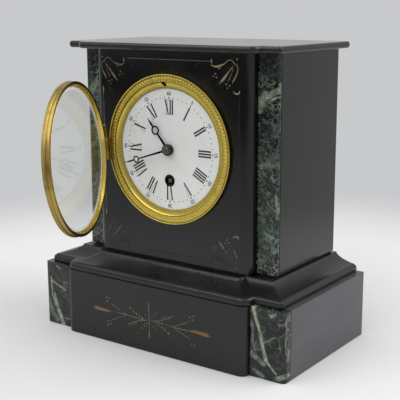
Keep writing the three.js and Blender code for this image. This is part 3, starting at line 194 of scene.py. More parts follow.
# Finishes that more than one material uses
def make_handling_group():
    """Faint smears and fine scratches of a surface that is dusted by hand: a mask and a small height."""
    t, given = start_group("handling marks", {"Scale": 1.0, "Smear": 0.5, "Scratch": 0.5}, ("Mask", "Height"))
    sized = t.scaled(t.spot(), given["Scale"])
    smear = t.times(t.span(t.noise(sized, 22.0, 5.0, 0.6, 1.2), 0.42, 0.72), given["Smear"])
    lines = []
    for turn, scale in ((0.3, 260.0), (1.9, 310.0), (2.6, 280.0)):
        strokes = t.noise(t.laid(sized, (1.0, 0.02, 1.0), (turn, turn * 1.7, turn * 0.6)), scale, 1.0, 0.4)
        lines.append(t.span(strokes, 0.7, 0.76))
    scratches = t.maths("MAXIMUM", t.maths("MAXIMUM", lines[0], lines[1]), lines[2])
    scratches = t.times(scratches, given["Scratch"])
    t.node("NodeGroupOutput", {"Mask": t.maths("ADD", smear, scratches, True), "Height": t.times(scratches, -1.0)})
    return t.tree


def make_vein_group():
    """Mineral mottling: curling pale threads, soft blotches, fine mottle and slow clouds, as masks."""
    t, given = start_group(
        "mineral mottle", {"Vector": None, "Scale": 1.0, "Width": 0.03, "Cover": 0.5},
        ("Threads", "Blotch", "Mottle", "Cloud"),
    )
    bent = t.wandering(t.scaled(given["Vector"], given["Scale"]), 90.0, 3.0, 0.5, 0.006)
    nets = []
    for scale, share, gate_scale in ((150.0, 1.0, 48.0), (290.0, 1.3, 70.0)):
        off = t.maths("ABSOLUTE", t.maths("SUBTRACT", t.noise(bent, scale, 1.5, 0.45), 0.5))
        line = t.maths("SUBTRACT", 1.0, t.maths("DIVIDE", off, t.times(given["Width"], share)), True)
        broken = t.maths("ADD", t.noise(bent, gate_scale, 4.0, 0.6), t.maths("SUBTRACT", given["Cover"], 0.5))
        nets.append(t.times(line, t.span(broken, 0.42, 0.58)))
    clearing = t.span(t.noise(bent, 26.0, 2.0, 0.5), 0.42, 0.54, 0.3)
    t.node("NodeGroupOutput", {
        "Threads": t.times(t.maths("MAXIMUM", nets[0], nets[1]), clearing),
        "Blotch": t.span(t.noise(bent, 120.0, 5.0, 0.62), 0.57, 0.68),
        "Mottle": t.span(t.noise(bent, 300.0, 4.0, 0.68), 0.53, 0.61),
        "Cloud": t.noise(bent, 32.0, 7.0, 0.62),
    })
    return t.tree


def make_streak_group():
    """One band, such as a bold vein, a dark stretch, painted shade or a painted highlight: a wandering band whose
    length, width and lie are set, broken up along its edges.
    """
    t, given = start_group(
        "marble streak", {"Centre": None, "Turn": None, "Reach": None, "Wander": 0.004, "Strength": 1.0}, ("Mask",),
    )
    where = t.spot()
    bent = t.wandering(where, 95.0, 5.0, 0.62, given["Wander"])
    local = t.laid(bent, given["Reach"], given["Turn"], given["Centre"], vector_type="TEXTURE")
    across = t.maths("SUBTRACT", 1.0, t.maths("ABSOLUTE", t.part(local, "Z")), True)
    along = t.maths("SUBTRACT", 1.0, t.maths("ABSOLUTE", t.part(local, "X")), True)
    grain = t.span(t.noise(where, 420.0, 4.0, 0.65), 0.3, 0.6, 0.45)
    mask = t.times(t.times(t.span(across, 0.0, 0.5), t.span(along, 0.0, 0.25)), grain)
    t.node("NodeGroupOutput", {"Mask": t.times(mask, given["Strength"], True)})
    return t.tree


def make_grain_group():
    """Worked metal: strokes of a brush, or turning lines round the dial's centre, with tarnish in patches."""
    t, given = start_group(
        "metal grain", {"Scale": 1.0, "Tarnish": 0.4, "Turned": 0.0}, ("Tone", "Tarnish", "Height", "Radius"),
    )
    sized = t.scaled(t.spot(), given["Scale"])
    fine = t.noise(sized, 900.0, 3.0, 0.6)
    radius = t.length(t.place(scale=(1, 0, 1), shift=(0, 0, -DIAL_Z * MM)))
    turning = t.noise(t.node("CombineXYZ", {"X": radius}).outputs["Vector"], 1700.0, 3.0, 0.6)
    brushing = t.noise(t.laid(sized, (1.0, 1.0, 0.03)), 900.0, 3.0, 0.6)
    strokes = t.mix(given["Turned"], brushing, turning)
    spots = t.span(t.noise(sized, 55.0, 6.0, 0.65, 0.6), 0.5, 0.78)
    t.node("NodeGroupOutput", {
        "Tone": t.maths("ADD", t.times(fine, 0.5), t.times(strokes, 0.5)),
        "Tarnish": t.times(spots, given["Tarnish"], True),
        "Height": t.maths("ADD", t.times(fine, 0.6), t.times(strokes, 0.4)),
        "Radius": radius,
    })
    return t.tree


HANDLING = make_handling_group()
VEINS = make_vein_group()
STREAK = make_streak_group()
GRAIN = make_grain_group()


class Finish:
    """A material with its Principled shader and a tree to build on."""

    def __init__(self, name, **sockets):
        self.material = bpy.data.materials.new(name)
        self.material.use_nodes = True
        self.tree = Tree(self.material.node_tree)
        self.shader = self.material.node_tree.nodes["Principled BSDF"]
        for key, value in sockets.items():
            self.tree.set(self.shader, key.replace("_", " "), value)

    def colour(self, value):
        self.tree.set(self.shader, "Base Color", value)

    def roughness(self, value, least, most, low=0.0, high=1.0):
        self.tree.set(self.shader, "Roughness", self.tree.span(value, low, high, least, most))

    def bump(self, height, strength, distance):
        made = self.tree.node("Bump", {"Height": height, "Strength": strength, "Distance": distance})
        self.tree.set(self.shader, "Normal", made.outputs["Normal"])

    def group(self, group, **sockets):
        return self.tree.node("Group", sockets, node_tree=group).outputs


def make_slate(name, tones, haze, rough, dust_and_reflection=0.0):
    """Polished black slate: faint cloudy bands, dusting marks in the polish, and on level faces a paler tone that is
    partly a fine dusting and partly a painted reflection of the pale surroundings.
    """
    f = Finish(name, IOR=1.47)
    t = f.tree
    bands = t.noise(t.place(scale=(1, 1, 2.4), turn=(0.2, 0.1, 0.5)), 14.0, 7.0, 0.6, 0.8)
    stone = t.ramp(bands, list(zip((0.3, 0.55, 0.8), tones)))
    flecks = t.ramp(t.noise(t.place(), 1400.0, 2.0, 0.5), [(0.62, 0.0), (0.72, 1.0)])
    marks = f.group(HANDLING, Scale=1.0, Smear=haze, Scratch=0.3)
    colour = t.mix(t.times(flecks, 0.07), stone, "3e3e3d")
    colour = t.mix(t.times(marks["Mask"], 0.08), colour, "444443")
    sheen = marks["Mask"]
    if dust_and_reflection:
        # Level faces painted paler: a fine dusting, and a painted reflection of the pale surroundings
        level = t.span(t.part(t.node("NewGeometry").outputs["Normal"], "Z"), 0.8)
        settled_dust_and_reflection = t.times(level, t.span(t.noise(t.place(), 26.0, 5.0, 0.6), 0.2, 0.7, 0.6))
        colour = t.mix(t.times(settled_dust_and_reflection, dust_and_reflection), colour, "9f9b94")
        sheen = t.maths("ADD", t.times(sheen, 0.4), t.times(settled_dust_and_reflection, 0.5), True)
    f.colour(colour)
    f.roughness(sheen, rough, rough + 0.17)
    f.bump(t.maths("ADD", t.times(bands, 0.15), marks["Height"]), 0.08, 0.0004)
    return f.material


def band_mask(f, x0, z0, x1, z1, half_width, strength):
    """Mask of one band, such as a vein, a dark stretch, painted shade or a painted highlight, given by the ends of
    its middle line.
    """
    reach = hypot(x1 - x0, z1 - z0) / 2 + half_width
    return f.group(
        STREAK, Centre=((x0 + x1) / 2 * MM, 0, (z0 + z1) / 2 * MM), Turn=(0, atan2(z0 - z1, x1 - x0), 0),
        Reach=(reach * MM, 1, half_width * MM), Strength=strength,
    )["Mask"]


def make_marble(name, streaks, scale, width, cover, mottled, shift, dark_stretches_and_shade, index):
    """Green-black marble: mottled ground, pale threads, and bold veins and dark stretches between given points; some
    dark stretches are painted shade, and some pale veins are painted highlights.
    """
    f = Finish(name, IOR=index)
    t = f.tree
    where = t.place(turn=(0.3, 0.6, 0.2), shift=shift)
    veins = f.group(VEINS, Vector=where, Scale=scale, Width=width, Cover=cover)
    colour = t.ramp(veins["Cloud"], [
        (0.36, "080a09"), (0.48, "101311"), (0.54, "171613"), (0.6, "1b2620"), (0.72, "31443a"),
    ])
    colour = t.mix(t.times(veins["Mottle"], 0.52 * mottled), colour, "566657")
    colour = t.mix(t.times(veins["Blotch"], 0.3 * mottled), colour, "6c7b69")
    colour = t.mix(t.times(veins["Threads"], 0.6), colour, "9dab9c")
    for shade in dark_stretches_and_shade:
        # Dark stretches, among them painted shade under the top slab
        colour = t.mix(band_mask(f, *shade), colour, "151816")
    pale = t.ramp(t.noise(where, 260.0, 4.0, 0.6), [(0.35, "5c6b58"), (0.5, "87917f"), (0.68, "b2b6aa")])
    for streak in streaks:
        colour = t.mix(band_mask(f, *streak), colour, pale)
    f.colour(colour)
    marks = f.group(HANDLING, Scale=1.2, Smear=0.4, Scratch=0.3)
    f.roughness(marks["Mask"], 0.14, 0.3)
    f.bump(t.maths("ADD", t.times(veins["Threads"], -0.5), marks["Height"]), 0.1, 0.0003)
    return f.material


def make_brass(name, tone, shade, rough, tarnish, scale=1.0, rings=()):
    """Yellow brass, brushed, or turned where it has grooves: (radius, half width) about the dial's centre, each
    darkened to a line of tarnish and painted shade in the grooves and along the edges and steps.
    """
    f = Finish(name, Metallic=1.0)
    t = f.tree
    grain = f.group(GRAIN, Scale=scale, Tarnish=tarnish, Turned=1.0 if rings else 0.0)
    colour = t.mix(t.times(grain["Tone"], 0.35), tone, shade)
    colour = t.mix(grain["Tarnish"], colour, shade)
    for place, reach in rings:
        off = t.maths("ABSOLUTE", t.maths("SUBTRACT", grain["Radius"], place * MM))
        line = t.maths("SUBTRACT", 1.0, t.maths("DIVIDE", off, reach * MM), True)
        # Dark line at each ring: tarnish and painted shade in grooves and along edges
        colour = t.mix(t.times(line, 0.75), colour, "3a2c14")
    f.colour(colour)
    f.roughness(grain["Tarnish"], rough, rough + 0.25)
    f.bump(grain["Height"], 0.12, 0.0002)
    return f.material


def make_steel(name, tone, shade, rough):
    """Brushed steel, plain or blued, with a little tarnish."""
    f = Finish(name, Metallic=1.0)
    grain = f.group(GRAIN, Scale=1.3, Tarnish=0.3)
    f.colour(f.tree.mix(grain["Tarnish"], tone, shade))
    f.roughness(grain["Tone"], rough, rough + 0.12)
    f.bump(grain["Height"], 0.08, 0.0001)
    return f.material


def make_enamel():
    """White vitreous enamel: nearly even, with the softest clouding and a glassy skin."""
    f = Finish("dial enamel", IOR=1.52, Coat_Weight=0.25, Coat_Roughness=0.04)
    t = f.tree
    cloud = t.noise(t.place(), 40.0, 4.0, 0.5)
    f.colour(t.ramp(cloud, [(0.3, "d9dad7"), (0.7, "e3e4e1")]))
    f.roughness(cloud, 0.14, 0.24)
    f.bump(t.noise(t.place(), 600.0, 2.0), 0.04, 0.0001)
    return f.material


def make_mottled(name, scale, detail, stops, least, most, **sockets):
    """A plain finish whose tone and gloss follow one fine noise."""
    f = Finish(name, **sockets)
    grit = f.tree.noise(f.tree.place(), scale, detail, 0.6)
    f.colour(f.tree.ramp(grit, stops))
    f.roughness(grit, least, most)
    return f.material


def make_glass():
    """Old window glass: faintly green, with a soft film that blurs what it mirrors."""
    f = Finish("clear glass", IOR=1.31, Transmission_Weight=1.0, Base_Color=(0.93, 0.955, 0.93, 1.0))
    f.roughness(f.tree.noise(f.tree.place(), 30.0, 4.0, 0.6), 0.015, 0.07, 0.35, 0.8)
    return f.material


def make_gilding(name, tone, worn, cover, grit=160.0):
    """Gilt in incised lines, rubbed away in places so that the dark stone shows through."""
    f = Finish(name, Roughness=0.45)
    t = f.tree
    broad = t.times(t.maths("SUBTRACT", t.noise(t.place(), 60.0, 2.0), 0.5), 0.6)
    rub = t.maths("ADD", t.noise(t.place(), grit, 6.0, 0.7), broad, True)
    kept = t.ramp(rub, [(1 - cover - 0.08, 0.0), (1 - cover + 0.08, 1.0)])
    f.colour(t.mix(kept, worn, tone))
    t.set(f.shader, "Metallic", t.times(kept, 0.6))
    f.bump(rub, 0.2, 0.0002)
    return f.material


SLATE = make_slate("black slate", ("080808", "0c0c0c", "131312"), 0.35, 0.13)
SOFT_SLATE = make_slate("hazy slate", ("0c0c0b", "111110", "181817"), 0.4, 0.26)
# The top slab's slate is lighter, and paler on its level faces: partly a fine dusting, partly a painted reflection
TOP_SLATE = make_slate("dusty slate with painted reflection", ("161616", "1c1c1b", "262624"), 0.6, 0.16, 0.66)
WORN_SLATE = make_slate("worn slate", ("3b3c3f", "434447", "4a4b4f"), 0.35, 0.27)

# Veins and dark stretches are (x, z, x, z, half width, strength), from one end to the other; some stand for painted
# shade and painted highlights, as marked
PILASTER_MARBLE = make_marble("mottled green marble", (
    (70.5, 180, 75, 188, 4.2, 0.6), (74, 186, 87, 193, 2.6, 0.7), (78, 184.5, 87, 188.5, 0.9, 0.7),
    (71, 140, 86, 142, 2.4, 0.25), (84.6, 122, 85.2, 104, 0.9, 0.6), (78, 116, 84, 110, 0.6, 0.5),
    (75, 94, 85, 90, 1.0, 0.4), (81, 92, 83, 80, 1.6, 0.4), (-86, 178, -76, 190, 4.0, 0.6),
    (-78, 120, -84, 96, 1.6, 0.5), (-75, 150, -84, 140, 1.2, 0.4),
), 1.0, 0.028, 0.58, 1.0, (0.3, 0.1, 0.2), (
    # The wide stretches at z 210 to 212 across the top of each pilaster, just under the top slab, are painted shade
    (70, 211, 86, 211, 14, 0.9), (70, 164, 78, 167, 4, 0.6), (70, 128, 76, 112, 3, 0.6),
    (72, 84, 76, 78, 4, 0.5), (-86, 210, -70, 212, 12, 0.8), (-84, 140, -76, 120, 5, 0.5),
), 1.42)
LEFT_MARBLE = make_marble("veined marble left", (
    # The upright pale vein from z 38 to 22, second on this line, is a painted highlight
    (-103.6, 35.9, -88.7, 28.7, 1.1, 1.0), (-104.2, 38, -103.4, 22, 1.1, 1.0),
    (-102.4, 24, -91.2, -1, 2.6, 1.0), (-91, 35.8, -85.5, 35.4, 0.6, 0.7), (-91, 6.3, -83.5, 6.0, 0.7, 0.6),
    (-109.5, 38, -109.2, 8, 1.1, 0.7), (-108, 18, -99, 4, 3.4, 0.35), (-98, 48, -93, 46.5, 0.8, 0.7),
), 0.8, 0.013, 0.46, 0.45, (0.0, 0.2, 0.1), (), 1.48)
RIGHT_MARBLE = make_marble("veined marble right", (
    (84.2, 52, 91.8, 28.6, 1.6, 1.0), (90.2, 32, 95.8, 11.5, 1.8, 1.0), (95.2, 13.5, 103.5, 5.8, 0.9, 0.9),
    (93.4, 26, 103.6, 32, 0.7, 0.6), (83.4, 16.5, 93.5, 11, 2.4, 0.6), (99.4, 45.5, 102.0, 47, 1.6, 0.85),
    # The last line of this row, a pale line along the outer edge from z 49 to 14, is partly chipped edge and partly a
    # painted highlight
    (105, 41, 109, 42, 0.9, 0.4), (104.5, 3, 109, 5, 2.2, 0.7), (109.7, 49, 109.9, 14, 0.4, 0.5),
    (83.5, 40, 85.6, 20, 1.2, 0.4), (86, 5, 92, 2, 2.0, 0.5),
), 0.8, 0.013, 0.46, 0.4, (0.1, 0.0, 0.3), (), 1.43)

BRASS = make_brass("polished brass", "dcc55f", "a08d42", 0.27, 0.5)
# Darker, heavily tarnished brass for the door: partly tarnish, partly a painted dark reflection in its wall
DOOR_BRASS = make_brass("tarnished door brass with painted dark reflection", "b39b55", "5c4a26", 0.26, 0.95)
# The bezel's rings are dark lines of tarnish and painted shade at its grooves, steps and rim
BEZEL_BRASS = make_brass(
    "bezel brass", "dcc55f", "a08d42", 0.27, 0.5, 1.0, ((53.1, 0.4), (54.5, 0.4), (48.62, 0.3), (44.1, 0.25)),
)
SATIN_BRASS = make_brass("satin brass", "dcc65f", "96793a", 0.33, 0.7)
# The rear brass's rings are dark lines of tarnish and painted shade at its grooves and edges
REAR_BRASS = make_brass(
    "rear brass", "c9b25a", "8a7838", 0.36, 0.5, 1.0,
    ((51.7, 0.6), (44.6, 0.7), (35.6, 0.8), (33.8, 0.7), (31.2, 0.45), (8.1, 0.45)),
)
MOVEMENT_BRASS = make_brass("movement brass", "c9b25c", "8c7838", 0.3, 0.5, 1.4)
STEEL = make_steel("movement steel", "9a9da1", "6c6a66", 0.24)
BLUED = make_steel("blued steel", "1b1f2c", "0f1118", 0.2)
BRONZED = make_steel("bronzed collet", "625e50", "211f19", 0.42)
AGED_STEEL = make_steel("aged steel", "6e6860", "35312b", 0.36)
ENAMEL = make_enamel()
PRINT = make_mottled("hour print", 500.0, 4.0, [(0.35, "15171d"), (0.7, "2b2f3a")], 0.25, 0.4, IOR=1.5)
PALE_PRINT = make_mottled("minute print", 500.0, 4.0, [(0.35, "262b38"), (0.7, "464d5c")], 0.25, 0.4, IOR=1.5)
GLASS = make_glass()
# A near-white ring on the glass edge is a painted highlight: the bright line of light that the bevel refracts
GLASS_EDGE_HIGHLIGHT = make_mottled("painted glass edge highlight", 800.0, 3.0, [(0.3, "f4f5f2"), (0.7, "fdfdfb")], 0.3, 0.5, IOR=1.45)
GILT = make_gilding("gilt lines", "807a68", "35332c", 0.55)
BUD_GILT = make_gilding("brown gilt buds", "7f6142", "564636", 0.62, 420.0)
GREY_GILT = make_gilding("greyed gilt lines", "9d8e70", "585142", 0.58)
DIM_GILT = make_gilding("dim gilt lines", "888069", "3d3a2f", 0.54)
WORN_GILT = make_gilding("worn gilt lines", "55544a", "24241f", 0.55)
SPECKLED_GILT = make_gilding("speckled gilt lines", "8a8268", "2c2b25", 0.5, 520.0)
EMPTY_LINES = make_gilding("empty cut lines", "1d1c1a", "080808", 0.25)


# Shape helpers
def add_object(name, data):
    thing = bpy.data.objects.new(name, data)
    bpy.context.scene.collection.objects.link(thing)
    return thing


def as_object(name, bm):
    """A bmesh made an object of the scene."""
    mesh = bpy.data.meshes.new(name)
    bm.to_mesh(mesh)
    return add_object(name, mesh)


def finish_piece(bm, name, material, nodes=(), smooth=35.0, place=None, body="case"):
    """Turns a bmesh in millimetres into a piece that rides on its body, smooth below the given angle."""
    bmesh.ops.remove_doubles(bm, verts=bm.verts[:], dist=0.0005)
    bmesh.ops.recalc_face_normals(bm, faces=bm.faces[:])
    matrix = Matrix.Scale(MM, 4)
    if place is not None:
        matrix = matrix @ place
    bmesh.ops.transform(bm, matrix=matrix, verts=bm.verts[:])
    piece = as_object(name, bm)
    bm.free()
    piece.data.materials.append(material)
    piece.data.shade_smooth()
    piece.data.set_sharp_from_angle(angle=radians(smooth))
    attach(piece, body)
    if nodes:
        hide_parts(*nodes)
    return piece


def finish_stone(bm, name, node, material):
    """A stone of the case, whose wide faces rule the shading along its rounded edges."""
    stone = finish_piece(bm, name, material, [node], 28.0)
    step = stone.modifiers.new("weighted", "WEIGHTED_NORMAL")
    step.mode = "FACE_AREA"
    step.keep_sharp = True


def lathe(bm, profile, steps=144, centre=(0, 0)):
    """Spins a profile of (radius, depth) points about a Y axis; a profile off the axis is closed to a ring."""
    closed = profile[0][0] > 0 and profile[-1][0] > 0
    x, z = centre
    points = [bm.verts.new((x + radius, depth, z)) for radius, depth in profile]
    edges = [bm.edges.new(pair) for pair in zip(points, points[1:])]
    if closed:
        edges.append(bm.edges.new((points[-1], points[0])))
    bmesh.ops.spin(
        bm, geom=points + edges, cent=(x, 0, z), axis=(0, 1, 0), angle=tau, steps=steps, use_merge=True,
    )


def turned(name, material, nodes, smooth, profile, steps, place=FRONT, centre=(0, 0), body="case"):
    """A piece that is all one turning."""
    bm = bmesh.new()
    lathe(bm, profile, steps, centre)
    return finish_piece(bm, name, material, nodes, smooth, place, body)


def pin(bm, radius, start, end, centre, segments=24, edge=0.15, lying=False):
    """A round pin, upright or lying along the depth of the clock, its rims softened."""
    length = end - start
    middle = (start + end) / 2
    place = Matrix.Translation((centre[0], middle, centre[1])) @ LYING
    if not lying:
        place = Matrix.Translation((*centre, middle))
    made = bmesh.ops.create_cone(
        bm, cap_ends=True, segments=segments, radius1=radius, radius2=radius, depth=length, matrix=place,
    )["verts"]
    axis = 1 if lying else 2
    soften(bm, [e for e in edges_of(made) if abs(e.verts[0].co[axis] - e.verts[1].co[axis]) < length / 2], edge)


def box(bm, low, high):
    """A block between two corners."""
    size = Vector(high) - Vector(low)
    middle = (Vector(high) + Vector(low)) / 2
    matrix = Matrix.Translation(middle) @ Matrix.Diagonal(size.to_4d())
    return bmesh.ops.create_cube(bm, size=1.0, matrix=matrix)["verts"]


def ball(bm, facets, matrix, size):
    """A rounded bead; facets counts its faces round and up."""
    bmesh.ops.create_uvsphere(
        bm, u_segments=facets[0], v_segments=facets[1], radius=1, matrix=matrix @ Matrix.Diagonal((*size, 1)),
    )


def edges_of(verts):
    wanted = set(verts)
    return [e for v in wanted for e in v.link_edges if e.verts[0] in wanted and e.verts[1] in wanted]


def soften(bm, edges, reach, segments=2):
    bmesh.ops.bevel(
        bm, geom=list(dict.fromkeys(edges)), offset=reach, segments=segments, profile=0.5, affect="EDGES",
        material=-1, clamp_overlap=True,
    )


def is_upright(edge):
    a, b = (v.co for v in edge.verts)
    return abs(a.z - b.z) > 0.1 and (a.xy - b.xy).length < 0.001


def outline_face(bm, points, height):
    """One face from plan points."""
    return bm.faces.new([bm.verts.new((x, y, height)) for x, y in points])


def raise_faces(bm, faces, way):
    """Gives faces a thickness along the given way."""
    made = bmesh.ops.extrude_face_region(bm, geom=faces)["geom"]
    bmesh.ops.translate(bm, vec=way, verts=[g for g in made if isinstance(g, bmesh.types.BMVert)])


def cut_away(bm, tool):
    """Takes the shape of a second bmesh out of the first."""
    for shape in (bm, tool):
        bmesh.ops.recalc_face_normals(shape, faces=shape.faces[:])
    blank, cutter = as_object("blank", bm), as_object("tool", tool)
    step = blank.modifiers.new("cut", "BOOLEAN")
    step.operation = "DIFFERENCE"
    step.solver = "EXACT"
    step.object = cutter
    ready = blank.evaluated_get(bpy.context.evaluated_depsgraph_get())
    done = bpy.data.meshes.new_from_object(ready)
    bm.clear()
    bm.from_mesh(done)
    tool.free()
    for thing in (blank, cutter):
        bpy.data.objects.remove(thing)
    bpy.data.meshes.remove(done)


def dress(material, slot_name, *nodes):
    """Gives carried-over frame nodes their finished material."""
    for node in nodes:
        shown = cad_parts[node]
        shown.data.materials.clear()
        shown.data.materials.append(material)


def eased(points, count=6):
    """Stations along a smooth line through points; every number of a point is carried along."""
    ends = [points[0], *points, points[-1]]
    stations = []
    for a, b, c, d in zip(ends, ends[1:], ends[2:], ends[3:]):
        for k in range(count):
            t = k / count
            stations.append(tuple(
                q + 0.5 * t * (r - p + t * (2 * p - 5 * q + 4 * r - s + t * (3 * (q - r) + s - p)))
                for p, q, r, s in zip(a, b, c, d)
            ))
    return [*stations, tuple(points[-1])]


def ribbon(bm, stations, back, front):
    """A flat band through (x, z, width) stations, given its thickness from back to front."""
    spots = [Vector((x, back, z)) for x, z, _ in stations]
    faces = []
    edge = None
    for i, spot in enumerate(spots):
        along = (spots[min(i + 1, len(spots) - 1)] - spots[max(i - 1, 0)]).normalized()
        side = Vector((-along.z, 0, along.x)) * max(stations[i][2], 0.02) / 2
        if edge is None:
            left, right = bm.verts.new(spot - side), bm.verts.new(spot + side)
            edge = bm.edges.new((left, right))
            continue
        made = bmesh.ops.extrude_edge_only(bm, edges=[edge])["geom"]
        fresh = [g for g in made if isinstance(g, bmesh.types.BMVert)]
        left, right = sorted(fresh, key=lambda v: (v.co - left.co).length)
        left.co, right.co = spot - side, spot + side
        edge = bm.edges.get((left, right))
        faces += [g for g in made if isinstance(g, bmesh.types.BMFace)]
    raise_faces(bm, faces, (0, front - back, 0))


def dot(bm, x, z, radius, back, front, segments=10):
    """A small round lying on the face, its rim drawn in a little."""
    bmesh.ops.create_cone(
        bm, cap_ends=True, segments=segments, radius1=radius, radius2=radius * 0.86, depth=back - front,
        matrix=Matrix.Translation((x, (back + front) / 2, z)) @ LYING,
    )


def arc(first, last, count):
    """Angles from first to last, in equal steps and turned into radians."""
    return [radians(first + (last - first) * i / count) for i in range(count + 1)]


# The stone case
STONE_EDGE = 0.45
# Edges that bend more than this, in radians, are corners
SQUARE = 1.2
LEAST_TURN = 0.6
HOLLOW_TURN = 2.4


def moulded_stone(section, half, front, rear, break_half, break_depth, bend, corner, shrink=1.0, taper=0.0):
    """A stone whose middle stands forward and whose edge follows a section of (inset, height) steps.

    The break gets shallower by taper of the inset, and its outer turns get tighter by shrink of it.
    """
    bm = bmesh.new()
    loops = []
    for inset, height in section:
        wide, step, face_line = half - inset, break_half - inset, front + inset
        depth = break_depth - taper * inset
        face = outline_face(bm, [
            (-wide, rear), (-wide, face_line), (-step, face_line), (-step, face_line - depth),
            (step, face_line - depth), (step, face_line), (wide, face_line), (wide, rear),
        ], height)
        nose = [v for v in face.verts if v.co.y < face_line - depth / 2]
        ends = [v for v in face.verts if abs(abs(v.co.x) - wide) < 0.01 and v.co.y < 0]
        hollows = [v for v in face.verts if v.co.y < 0 and v not in nose and v not in ends]
        before = set(bm.edges) - set(face.edges)
        turn = max(bend - shrink * inset, LEAST_TURN)
        hollow = min(HOLLOW_TURN, depth - turn - 0.1)
        tight = max(corner - inset, LEAST_TURN)
        for verts, radius, segments in ((nose, turn, 10), (hollows, hollow, 6), (ends, tight, 6)):
            bmesh.ops.bevel(
                bm, geom=verts, offset=radius, segments=segments, profile=0.5, affect="VERTICES", material=-1,
            )
        edges = [e for e in bm.edges if e not in before]
        loops.append(edges)
        if height not in (section[0][1], section[-1][1]):
            bmesh.ops.delete(bm, geom=list(edges[0].link_faces), context="FACES_ONLY")
    for lower, upper in zip(loops, loops[1:]):
        bmesh.ops.bridge_loops(bm, edges=lower + upper)
    return bm


def make_cove():
    """Moulding: a round bead at the foot, a fillet, then a hollow that sweeps up to the body."""
    section = [(0.6, 50.0), (0.2, 50.2), (0.0, 50.7), (0.0, 52.6)]
    section += [(1.9 * (1 - cos(a)), 52.6 + 2.7 * sin(a)) for a in arc(0, 90, 7)[1:]]
    section += [(2.05, 55.4), (2.1, 55.85), (3.7, 55.9)]
    for a in arc(0, 90, 12)[1:]:
        section.append((3.7 + 13.5 * sin(a), 55.9 + 6.9 * (0.6 * (1 - cos(a)) + 0.4 * sin(a))))
    bm = moulded_stone(section, 105, -54.9, 55.8, 83, 9, 8.4, 2.5, 0.21, 0.15)
    finish_stone(bm, "cove_moulding_stone", "cove_moulding", SOFT_SLATE)


def make_top():
    """Top slab with a half-round nose along the front and sides."""
    section = [(1.9 * (1 - cos(a)), 219.5 + 2.5 * sin(a)) for a in arc(-90, 90, 16)]
    bm = moulded_stone(section, 93.3, -41.9, 56.4, 79, 8.6, 8, 3)
    finish_stone(bm, "top_slab_stone", "top_slab", TOP_SLATE)


def upright_panel(name, node, across, depth, levels, material=SLATE, bend=None, hole=None):
    """A stone between two places across, in depth (front, rear) and in height (foot, head).

    bend is (radius, segments, places across) of its rounded front uprights; hole is (radius, start, end).
    """
    bm = bmesh.new()
    (x0, x1), (front, rear), (foot, head) = across, depth, levels
    face = outline_face(bm, [(x0, rear), (x0, front), (x1, front), (x1, rear)], foot)
    raise_faces(bm, [face], (0, 0, head - foot))
    if bend:
        radius, segments, places = bend
        for x in places:
            soften(bm, [
                e for e in bm.edges
                if is_upright(e) and abs(e.verts[0].co.x - x) < 0.01 and abs(e.verts[0].co.y - front) < 0.01
            ], radius, segments)
    soften(bm, [
        e for e in bm.edges if not is_upright(e) and len(e.link_faces) == 2 and e.calc_face_angle() > SQUARE
    ], STONE_EDGE)
    soften(bm, [e for e in bm.edges if is_upright(e) and e.calc_face_angle() > SQUARE], STONE_EDGE)
    if hole:
        plug = bmesh.new()
        pin(plug, *hole, (0, DIAL_Z), 128, 0.01, lying=True)
        cut_away(bm, plug)
    finish_stone(bm, name, node, material)


def make_body():
    """The slate panels of body and plinth, and the marble at their corners."""
    half = FACE_HALF
    upright_panel(
        "body_front_stone", "body_front_panel", (-half, half), (BODY_FACE, -27.7), BODY_LEVELS,
        bend=(8.4, 12, (-half, half)), hole=(50.2, BODY_FACE - 5, -20),
    )
    upright_panel(
        "body_back_stone", "body_back_panel", (-73.8, 73.8), (41.9, BODY_REAR), BODY_LEVELS, hole=(47, 30, 60),
    )
    for hand, side in (("left", -1), ("right", 1)):
        edge = side * BODY_HALF
        upright_panel(
            f"pilaster_stone_{hand}", f"pilaster_{hand}", (side * 69.7, edge), (BODY_FRONT, -27.2), BODY_LEVELS,
            PILASTER_MARBLE, (2.8, 8, (edge,)),
        )
        upright_panel(
            f"body_side_stone_{hand}", f"body_side_panel_{hand}", (side * 74, edge), (-26.8, BODY_REAR), BODY_LEVELS,
        )
        edge = side * PLINTH_HALF
        upright_panel(
            f"plinth_corner_stone_{hand}", f"plinth_corner_block_{hand}", (side * BLOCK_INNER, edge),
            (PLINTH_FRONT, -50.9), PLINTH_LEVELS, LEFT_MARBLE if side < 0 else RIGHT_MARBLE,
            (3.5, 8, (edge,)),
        )
        upright_panel(
            f"plinth_side_stone_{hand}", f"plinth_side_panel_{hand}", (side * 98, edge), (-50.7, PLINTH_REAR),
            PLINTH_LEVELS, WORN_SLATE,
        )
    half = 82
    upright_panel(
        "plinth_front_stone", "plinth_front_panel", (-half, half), (PLINTH_FACE, PLINTH_FACE + 14), PLINTH_LEVELS,
        SOFT_SLATE, bend=(6, 12, (-half, half)),
    )
    upright_panel(
        "plinth_back_stone", "plinth_back_panel", (-97.8, 97.8), (46.5, PLINTH_REAR), PLINTH_LEVELS, WORN_SLATE,
    )
    dress(SLATE, "black_slate", "base_slab", "body_floor_slab")


